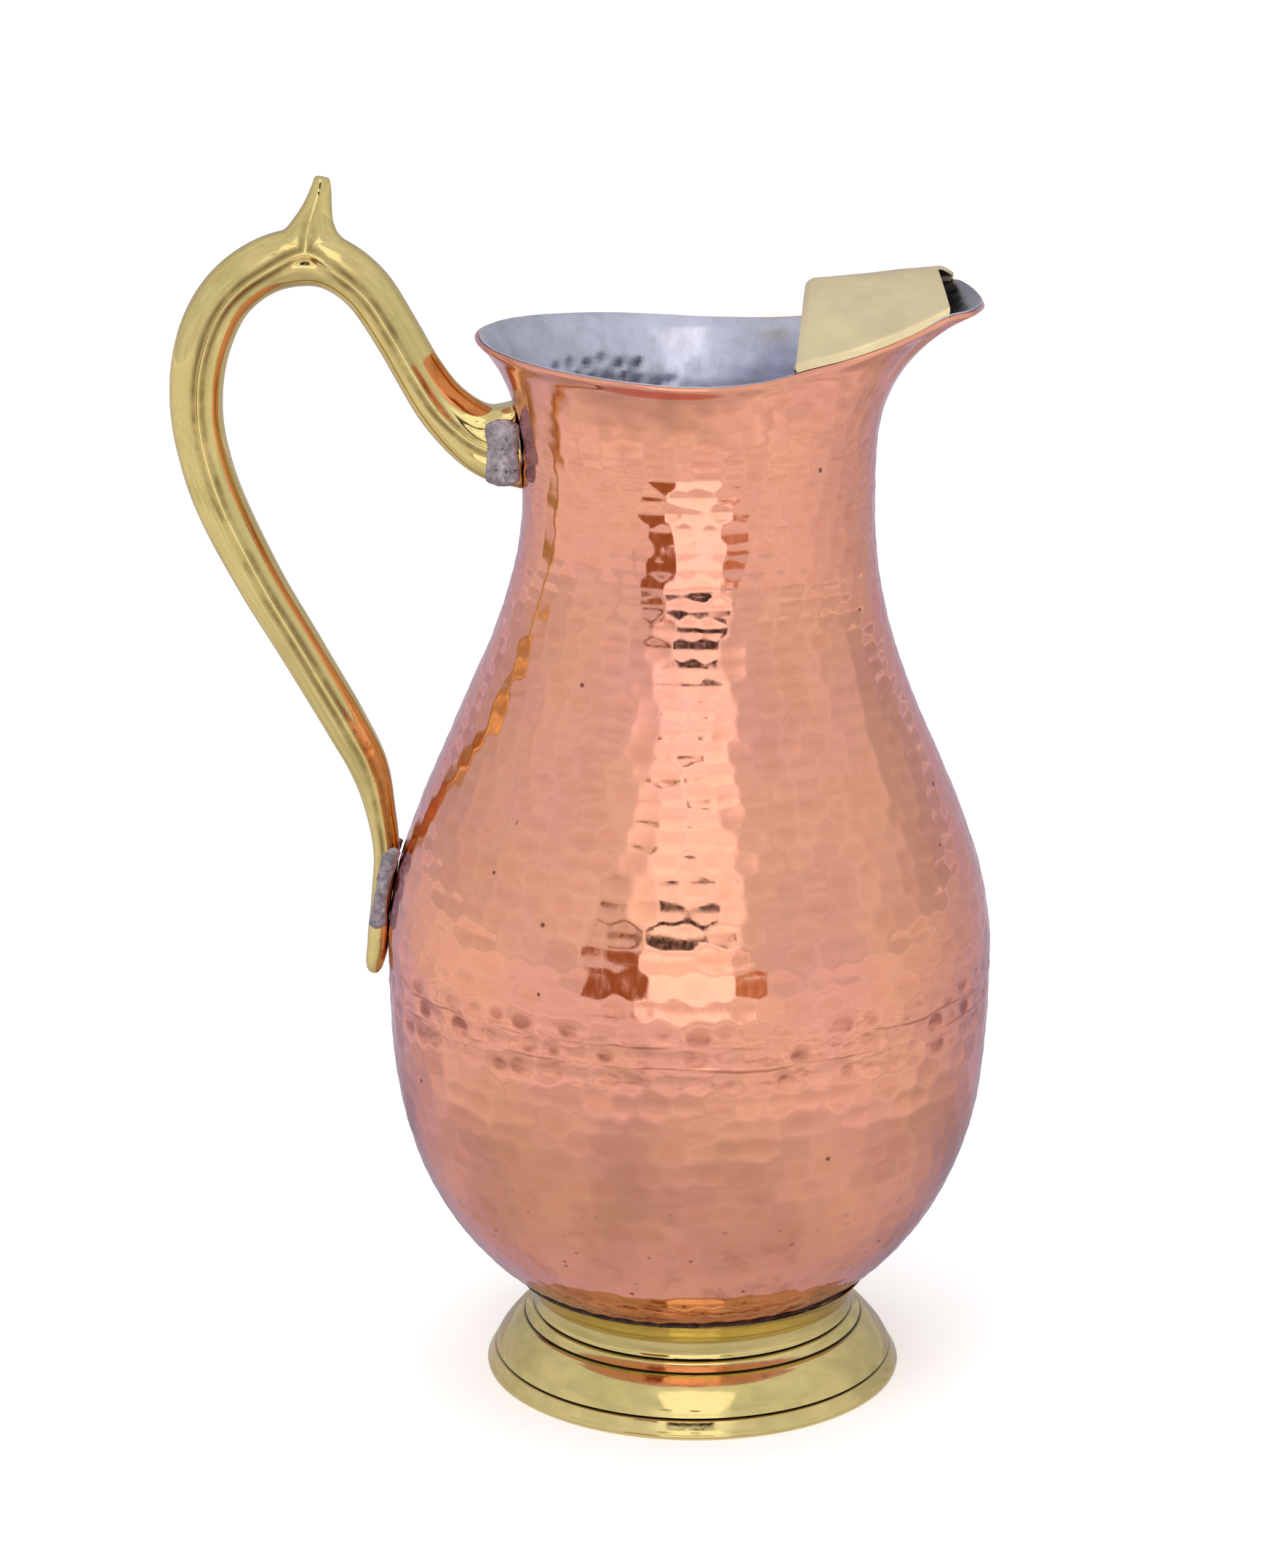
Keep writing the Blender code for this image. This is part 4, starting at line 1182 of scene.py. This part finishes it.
def section_points(depth, width, squareness, sides, sharp):
    """(across, deep) points of a cast section with a soft ridge along each side."""
    points = []
    boxy = min(max((squareness - 2.2) / 2.2, 0.0), 1.0)
    deep_power = between(sharp, squareness, boxy)
    across_power = between(2.3, squareness, boxy)
    for side in range(sides):
        turn = 2 * pi * (side + 0.5) / sides
        c, s = cos(turn), sin(turn)
        across = abs(c) ** (2 / across_power) * (1 if c > 0 else -1)
        deep = abs(s) ** (2 / deep_power) * (1 if s > 0 else -1)
        deep -= RIDGE_SHIFT * (1 - boxy) * (1 - deep * deep)
        points.append((across * width / 2, deep * depth / 2))
    return points


def loft(name, rings):
    """A closed solid through rings of equal length."""
    sides = len(rings[0])
    made, places, row_of = column(name, sides, MM, len(rings))
    turned = np.arctan2(places[:, 1], places[:, 0])
    first = turned[row_of == 0]
    side_of = np.round((turned - first.min()) / (2 * pi) * sides).astype(int) % sides
    place_points(made, np.array([rings[row][side] for row, side in zip(row_of, side_of)]))
    outward(made)
    return made


def handle_rings():
    centres, depths, widths, squares = handle_rows()
    along = directions(centres)
    along[0] = (-1.0, 0.0, 0.0)
    rings = []
    for centre, ahead, depth, width, square in zip(centres, along, depths, widths, squares):
        outside = np.array((ahead[2], 0.0, -ahead[0]))
        ring = []
        for across, deep in section_points(depth, width, square, HANDLE_SIDES, RIDGE_SHARP):
            ring.append(centre + outside * deep + np.array((0.0, across, 0.0)))
        rings.append(ring)
    return rings


def spike_rings():
    centres, _, _, _ = handle_rows()
    crest = centres[ARCH_CREST * HANDLE_EACH]
    rings = []
    for along, up, thick, wide in smooth_rows(SPIKE, 5):
        ring = []
        for across, deep in section_points(thick * MM, wide * MM, 2.2, 32, 1.5):
            ring.append(crest + np.array((along * MM + deep, across, up * MM)))
        rings.append(ring)
    tip = np.array(rings[-1])
    tip[:, 2] -= (tip[:, 0] - tip[:, 0].mean()) * SPIKE_TIP_SLOPE
    rings[-1] = list(tip)
    return rings


def keep_clear(obj, gap):
    """Pushes points that reach into the copper back out to the given gap."""
    places = points_of(obj)
    lean = pot_lean(places[:, 2])
    x, y = places[:, 0] - lean, places[:, 1]
    radius = np.hypot(x, y)
    least = pot_radius(places[:, 2]) + gap
    angle = np.arctan2(y, x)
    above = places[:, 2] > NECK_Z
    mouth = mouth_points(angle, np.clip((places[:, 2] - NECK_Z) / rim_rule(angle)[1], 0, 1))
    least = np.where(above, np.hypot(mouth[:, 0] - lean, mouth[:, 1]) + gap, least)
    scale = np.where(radius < least, least / np.maximum(radius, 1e-9), 1.0)
    places[:, 0] = lean + x * scale
    places[:, 1] = y * scale
    place_points(obj, places)


class JUG_OT_handle(bpy.types.Operator):
    """Model the cast brass handle with its thumb spike"""

    bl_idname = "jug.handle"
    bl_label = "Cast handle"

    def execute(self, context):
        made = loft("cast_handle", handle_rings())
        keep_clear(made, TOUCH)
        spike = loft("spike_blank", spike_rings())
        pick(made)
        spike.select_set(True)
        bpy.ops.object.join()
        modify(made, "cast", "REMESH", mode="VOXEL", voxel_size=HANDLE_VOXEL)
        modify(made, "polished", "SMOOTH", factor=0.5, iterations=5)
        outward(made)
        self.ridges(made)
        finish_piece(made, brass_material("handle brass", 0.08), "handle", angle=80)
        return {"FINISHED"}

    def ridges(self, made):
        """Raises the soft ridges on both sides and stores a line of painted shade beside each ridge."""
        places = points_of(made)
        line = ridge_lines()
        tree = kdtree.KDTree(len(line))
        for index, (x, z) in enumerate(line):
            tree.insert((x, 0.0, z), index)
        tree.balance()
        away = np.array([tree.find((x, 0.0, z))[2] for x, _, z in places])
        side = ease((np.abs(places[:, 1]) - 2.4 * MM) / (1.6 * MM))
        dip = RIDGE_DIP * np.exp(-(((away - RIDGE_DIP_AWAY) / RIDGE_WIDE) ** 2))
        high = np.exp(-((away / RIDGE_WIDE) ** 2)) - dip
        places[:, 1] += np.sign(places[:, 1]) * side * high * RIDGE_HIGH
        place_points(made, places)
        # painted shade in a line beside each ridge
        keep_number(made, "ridge_shade", side * np.exp(-(((away - RIDGE_SHADE_AWAY) / RIDGE_SHADE_WIDE) ** 2)))


def ridge_lines():
    """(x, z) points of the ridges along a side: both run up into the spike at the crest."""
    centres, depths, _, _ = handle_rows()
    along = directions(centres)
    outside = np.column_stack([along[:, 2], -along[:, 0]])
    line = centres[:, ::2] - outside * (RIDGE_SHIFT * depths / 2)[:, None]
    crest = ARCH_CREST * HANDLE_EACH
    top = centres[crest, ::2] + np.array((1.0, 1.6)) * MM
    lines = []
    for branch in (line[4 : crest + 1], line[crest:-20][::-1]):
        left = np.linalg.norm(branch - branch[-1], axis=1)
        climb = ease(1 - left / RIDGE_CLIMB)[:, None] ** 1.6
        lines.append(branch + (top - branch[-1]) * climb)
    lines.append(top + np.array([(0.0, 0.0), (1.2, 6.4), (2.6, 12.0)]) * MM)
    return np.vstack([even_run(points, 0.2 * MM) for points in lines])


def solder_patch(name, centres, widths, side_y, thickness, side, salt):
    """A lumpy pad of solder lying along a line on the handle's side."""
    rings = []
    for place, (centre, width) in enumerate(zip(centres, widths)):
        end = min(place, len(centres) - 1 - place)
        swell = min(1.0, 0.30 + 0.25 * end)
        ring = []
        for turn in np.linspace(0, 2 * pi, 25)[:-1]:
            across = cos(turn) * width / 2 * swell
            up = sin(turn) * thickness / 2 * swell
            ring.append(np.array((centre[0] + across, side * (side_y + thickness * 0.25 + up), centre[1])))
        rings.append(ring)
    made = loft(name, rings)
    places = points_of(made)
    uneven = lumpy(places, 2.4 * MM, salt) + 0.6 * lumpy(places, 0.9 * MM, salt + 3.0)
    push_out(made, uneven * bpy.context.scene.jug_solder.lumps)
    keep_clear(made, TOUCH)
    return made


class JUG_OT_handle_solder(bpy.types.Operator):
    """Model the solder beside the handle's two joints"""

    bl_idname = "jug.handle_solder"
    bl_label = "Handle solder"

    def execute(self, context):
        grey = tuple(context.scene.jug_solder.grey)
        neck_x = -(NECK_R + 4.1 * MM) + NECK_LEAN
        neck_z = HANDLE_NECK_Z - 0.4 * MM
        neck = [(neck_x, z) for z in np.linspace(neck_z - 7.6 * MM, neck_z + 7.6 * MM, 40)]
        neck_width = [(7.4 + 0.4 * sin(9.0 * at)) * MM for at in np.linspace(0, 1, 40)]
        tail = [(-(float(pot_radius(z)) + 2.5 * MM), z) for z in np.linspace(*TAIL_SOLDER_Z, 60)]
        tail_width = [(3.7 + 0.5 * cos(7.0 * at)) * MM for at in np.linspace(0, 1, 60)]
        # line, widths along it, distance from the middle, thickness, salt, roughness
        joints = {
            "neck": (neck, neck_width, 6.25 * MM, 1.5 * MM, 7.0, 0.36),
            "tail": (tail, tail_width, 4.45 * MM, 1.1 * MM, 11.0, 0.34),
        }
        for side, where in ((-1, "near"), (1, "far")):
            for joint, (line, widths, side_y, thickness, salt, rough) in joints.items():
                name = joint + "_joint_" + where
                made = solder_patch(name, line, widths, side_y, thickness, side, salt + side)
                material = solder_material(joint + " solder " + where, grey, rough)
                finish_piece(made, material, joint + "_solder_" + where)
        return {"FINISHED"}


# ---------------------------------------------------------------- the studio


def glowing_material(name, tone, glow, base=(0.0, 0.0, 0.0)):
    made = bpy.data.materials.new(name)
    made.use_nodes = True
    surface = made.node_tree.nodes["Principled BSDF"]
    surface.inputs["Base Color"].default_value = (*base, 1.0)
    surface.inputs["Roughness"].default_value = 0.9
    surface.inputs["Specular IOR Level"].default_value = 0.1
    surface.inputs["Emission Color"].default_value = (*tone, 1.0)
    surface.inputs["Emission Strength"].default_value = glow
    return made


# towards, outer and inner angle of a patch of the tent, gain
TENT_LIGHT = (
    ((0.0, -1.0, 0.45), 27, 9, 0.50),
    ((0.0, -1.0, 0.2), 120, 30, 0.10),
    ((0.1, 1.0, -0.2), 100, 20, -0.17),
    ((0.0, 0.1, 1.0), 50, 15, 0.10),
)

FLOOR_GLOW = 0.30
CAMERA_SIDE = 13.4 * MM  # the camera stands this far from the axis, towards the handle
CAMERA_DOWN = 15.777  # degrees

# panels in front: name, left and right bearing, bottom and top angle in degrees, colour, glow
PANEL_Y = 0.72
PANEL_EYE_Z = 0.13
PANELS = (
    ("white panel", (-16.5, 18.0), -9.0, 12.5, (1.0, 0.97, 0.98), 1.50),
    ("amber panel", (-36.0, -17.0), -7.0, 8.5, (1.0, 0.42, 0.12), 0.34),
    ("dark bar low", (-15.5, 18.5), 4.6, 9.6, (1.0, 0.6, 0.7), 0.03),
    ("dark bar high", (-14.5, 11.5), 13.6, 20.0, (1.0, 0.6, 0.7), 0.03),
    ("brown bar high", (-33.0, -20.0), 14.0, 17.0, (1.0, 0.5, 0.3), 0.22),
    ("small amber panel", (18.5, 27.0), -3.0, 4.0, (1.0, 0.50, 0.22), 0.55),
)

# panels overhead, in front: name, height, near and far edge, left and right edge, colour, glow
CEILING = (
    ("ceiling panel", 1.40, 0.85, 2.15, -0.46, 0.56, (1.0, 0.97, 0.95), 1.45),
    ("ceiling rig", 1.36, 1.58, 1.76, -0.06, 0.12, (1.0, 0.7, 0.6), 0.04),
    ("ceiling plant", 1.36, 1.52, 1.70, -0.62, -0.40, (0.9, 0.8, 0.3), 0.30),
)


def board(name, corners, material):
    """A studio board that shows only in reflections."""
    deselect()
    bpy.ops.mesh.primitive_plane_add(size=2.0)
    made = start(name)
    places = []
    for x, y, _ in points_of(made):
        across, up = (x + 1) / 2, (y + 1) / 2
        low = Vector(corners[0]).lerp(Vector(corners[1]), across)
        high = Vector(corners[3]).lerp(Vector(corners[2]), across)
        places.append(low.lerp(high, up) + Vector((AXIS_X, 0, 0)))
    place_points(made, np.array(places))
    made.data.materials.append(material)
    made.visible_camera = False
    made.visible_shadow = False
    made.visible_diffuse = False


def soft_light(name, place, target, size, power):
    data = bpy.data.lights.new(name, "AREA")
    data.shape = "RECTANGLE"
    data.size, data.size_y = size
    data.energy = power
    made = bpy.data.objects.new(name, data)
    made.location = Vector(place) + Vector((AXIS_X, 0.0, 0.0))
    made.rotation_euler = (Vector(target) - Vector(place)).to_track_quat("-Z", "Y").to_euler()
    made.visible_camera = False
    made.visible_glossy = False
    bpy.context.scene.collection.objects.link(made)


class JUG_OT_stage(bpy.types.Operator):
    """Set the floor, the white tent, the soft lights and the camera"""

    bl_idname = "jug.stage"
    bl_label = "Studio"

    def execute(self, context):
        settings = context.scene.jug_studio
        deselect()
        bpy.ops.mesh.primitive_plane_add(size=24.0)
        floor = start("floor")
        tone = tuple(settings.floor)
        floor.data.materials.append(glowing_material("pale floor", tone, FLOOR_GLOW, tone))
        self.tent(settings)
        self.floor_sheet()
        self.boards()
        soft_light("key softbox", (-0.9, -1.6, 1.9), (0, 0, 0.15), (1.5, 1.2), 14.0)
        soft_light("overhead softbox", (0.1, 0.2, 2.0), (0, 0, 0.1), (1.8, 1.8), 10.0)
        self.camera(settings)
        context.scene.view_settings.view_transform = "Standard"
        return {"FINISHED"}

    def tent(self, settings):
        """A white tent, brighter in front and overhead, dimmer behind."""
        world = bpy.data.worlds.new("white tent")
        world.use_nodes = True
        nodes = Nodes(world.node_tree, "Generated")
        total = settings.tent
        for towards, outer, inner, gain in TENT_LIGHT:
            off = nodes.towards(nodes.place, towards)
            lobe = nodes.span(off, cos(radians(outer)), cos(radians(inner)), 0.0, gain)
            total = nodes.math(lobe, total, "ADD")
        background = nodes.tree.nodes["Background"]
        strength = nodes.math(total, nodes.mottle(5.0, 0.10))
        nodes.join(strength, background.inputs["Strength"])
        background.inputs["Color"].default_value = (0.98, 0.98, 1.0, 1.0)
        bpy.context.scene.world = world

    def floor_sheet(self):
        """The floor as the jug reflects it, with painted shadow: dimmer near the jug and towards the back.
        """
        sheen = glowing_material("floor sheet", (1.0, 0.97, 0.96), 1.0)
        nodes = Nodes(sheen.node_tree)
        reach = nodes.node("ShaderNodeVectorMath", {0: nodes.place}, operation="LENGTH")
        # painted shadow of the jug on the reflected floor, and painted shade towards the back
        painted_jug_shadow = nodes.span(reach.outputs["Value"], 0.05, 0.42, 0.61, 0.87, "SMOOTHERSTEP")
        bearing = nodes.node("ShaderNodeVectorMath", {0: nodes.place}, operation="NORMALIZE")
        behind = nodes.towards(bearing.outputs["Vector"], (0.3, 1.0, 0.0))
        painted_back_shade = nodes.span(behind, -0.35, 0.95, 1.0, 0.68)
        strength = nodes.math(nodes.math(painted_jug_shadow, painted_back_shade), nodes.mottle(11.0, 0.16))
        nodes.join(strength, nodes.tree.nodes["Principled BSDF"].inputs["Emission Strength"])
        far, lift = 6, 0.0004
        corners = [(-far, -far, lift), (far, -far, lift), (far, far, lift), (-far, far, lift)]
        board("floor sheet", corners, sheen)

    def boards(self):
        """The panels overhead and those in front, which only show as reflections."""
        for name, high, near, far, left, right, tone, glow in CEILING:
            ends = ((left, -near), (right, -near), (right, -far), (left, -far))
            corners = [(x, y, high) for x, y in ends]
            board(name, corners, glowing_material(name, tone, glow))
        for name, sides, low, high, tone, glow in PANELS:
            left, right = (PANEL_Y * np.tan(radians(side)) for side in sides)
            bottom, top = (PANEL_EYE_Z + PANEL_Y * np.tan(radians(turn)) for turn in (low, high))
            ends = ((left, bottom), (right, bottom), (right, top), (left, top))
            corners = [(x, -PANEL_Y, z) for x, z in ends]
            board(name, corners, glowing_material(name, tone, glow))

    def camera(self, settings):
        data = bpy.data.cameras.new("camera")
        data.lens = settings.lens
        data.sensor_width = 36.0
        made = bpy.data.objects.new("camera", data)
        x = AXIS_X - CAMERA_SIDE
        made.location = (x, -settings.camera_distance, settings.camera_height)
        made.rotation_euler = (radians(90 - CAMERA_DOWN), 0.0, 0.0)
        bpy.context.scene.collection.objects.link(made)
        bpy.context.scene.camera = made


# ---------------------------------------------------------------- the add-on

OPERATORS = (
    JUG_OT_bowl,
    JUG_OT_shoulder,
    JUG_OT_belly_seam,
    JUG_OT_tin_lining,
    JUG_OT_foot,
    JUG_OT_foot_solder,
    JUG_OT_handle,
    JUG_OT_handle_solder,
    JUG_OT_guard,
    JUG_OT_guard_solder,
    JUG_OT_stage,
)


class JUG_PT_sidebar(bpy.types.Panel):
    """Buttons for each group of the jug's pieces"""

    bl_idname = "JUG_PT_sidebar"
    bl_label = "Pouring jug"
    bl_space_type = "VIEW_3D"
    bl_region_type = "UI"
    bl_category = "Jug"

    def draw(self, context):
        for operator in OPERATORS:
            self.layout.operator(operator.bl_idname)


SETTINGS = (
    ("jug_copper", JugCopperSettings),
    ("jug_tin", JugTinSettings),
    ("jug_brass", JugBrassSettings),
    ("jug_solder", JugSolderSettings),
    ("jug_studio", JugStudioSettings),
)


def register():
    for name, group in SETTINGS:
        bpy.utils.register_class(group)
        setattr(bpy.types.Scene, name, bpy.props.PointerProperty(type=group))
    for made in (*OPERATORS, JUG_PT_sidebar):
        bpy.utils.register_class(made)


def unregister():
    for made in reversed((*OPERATORS, JUG_PT_sidebar)):
        bpy.utils.unregister_class(made)
    for name, group in reversed(SETTINGS):
        delattr(bpy.types.Scene, name)
        bpy.utils.unregister_class(group)


def main():
    register()
    for operator in OPERATORS:
        group, action = operator.bl_idname.split(".")
        getattr(getattr(bpy.ops, group), action)()


if __name__ == "__main__":
    main()
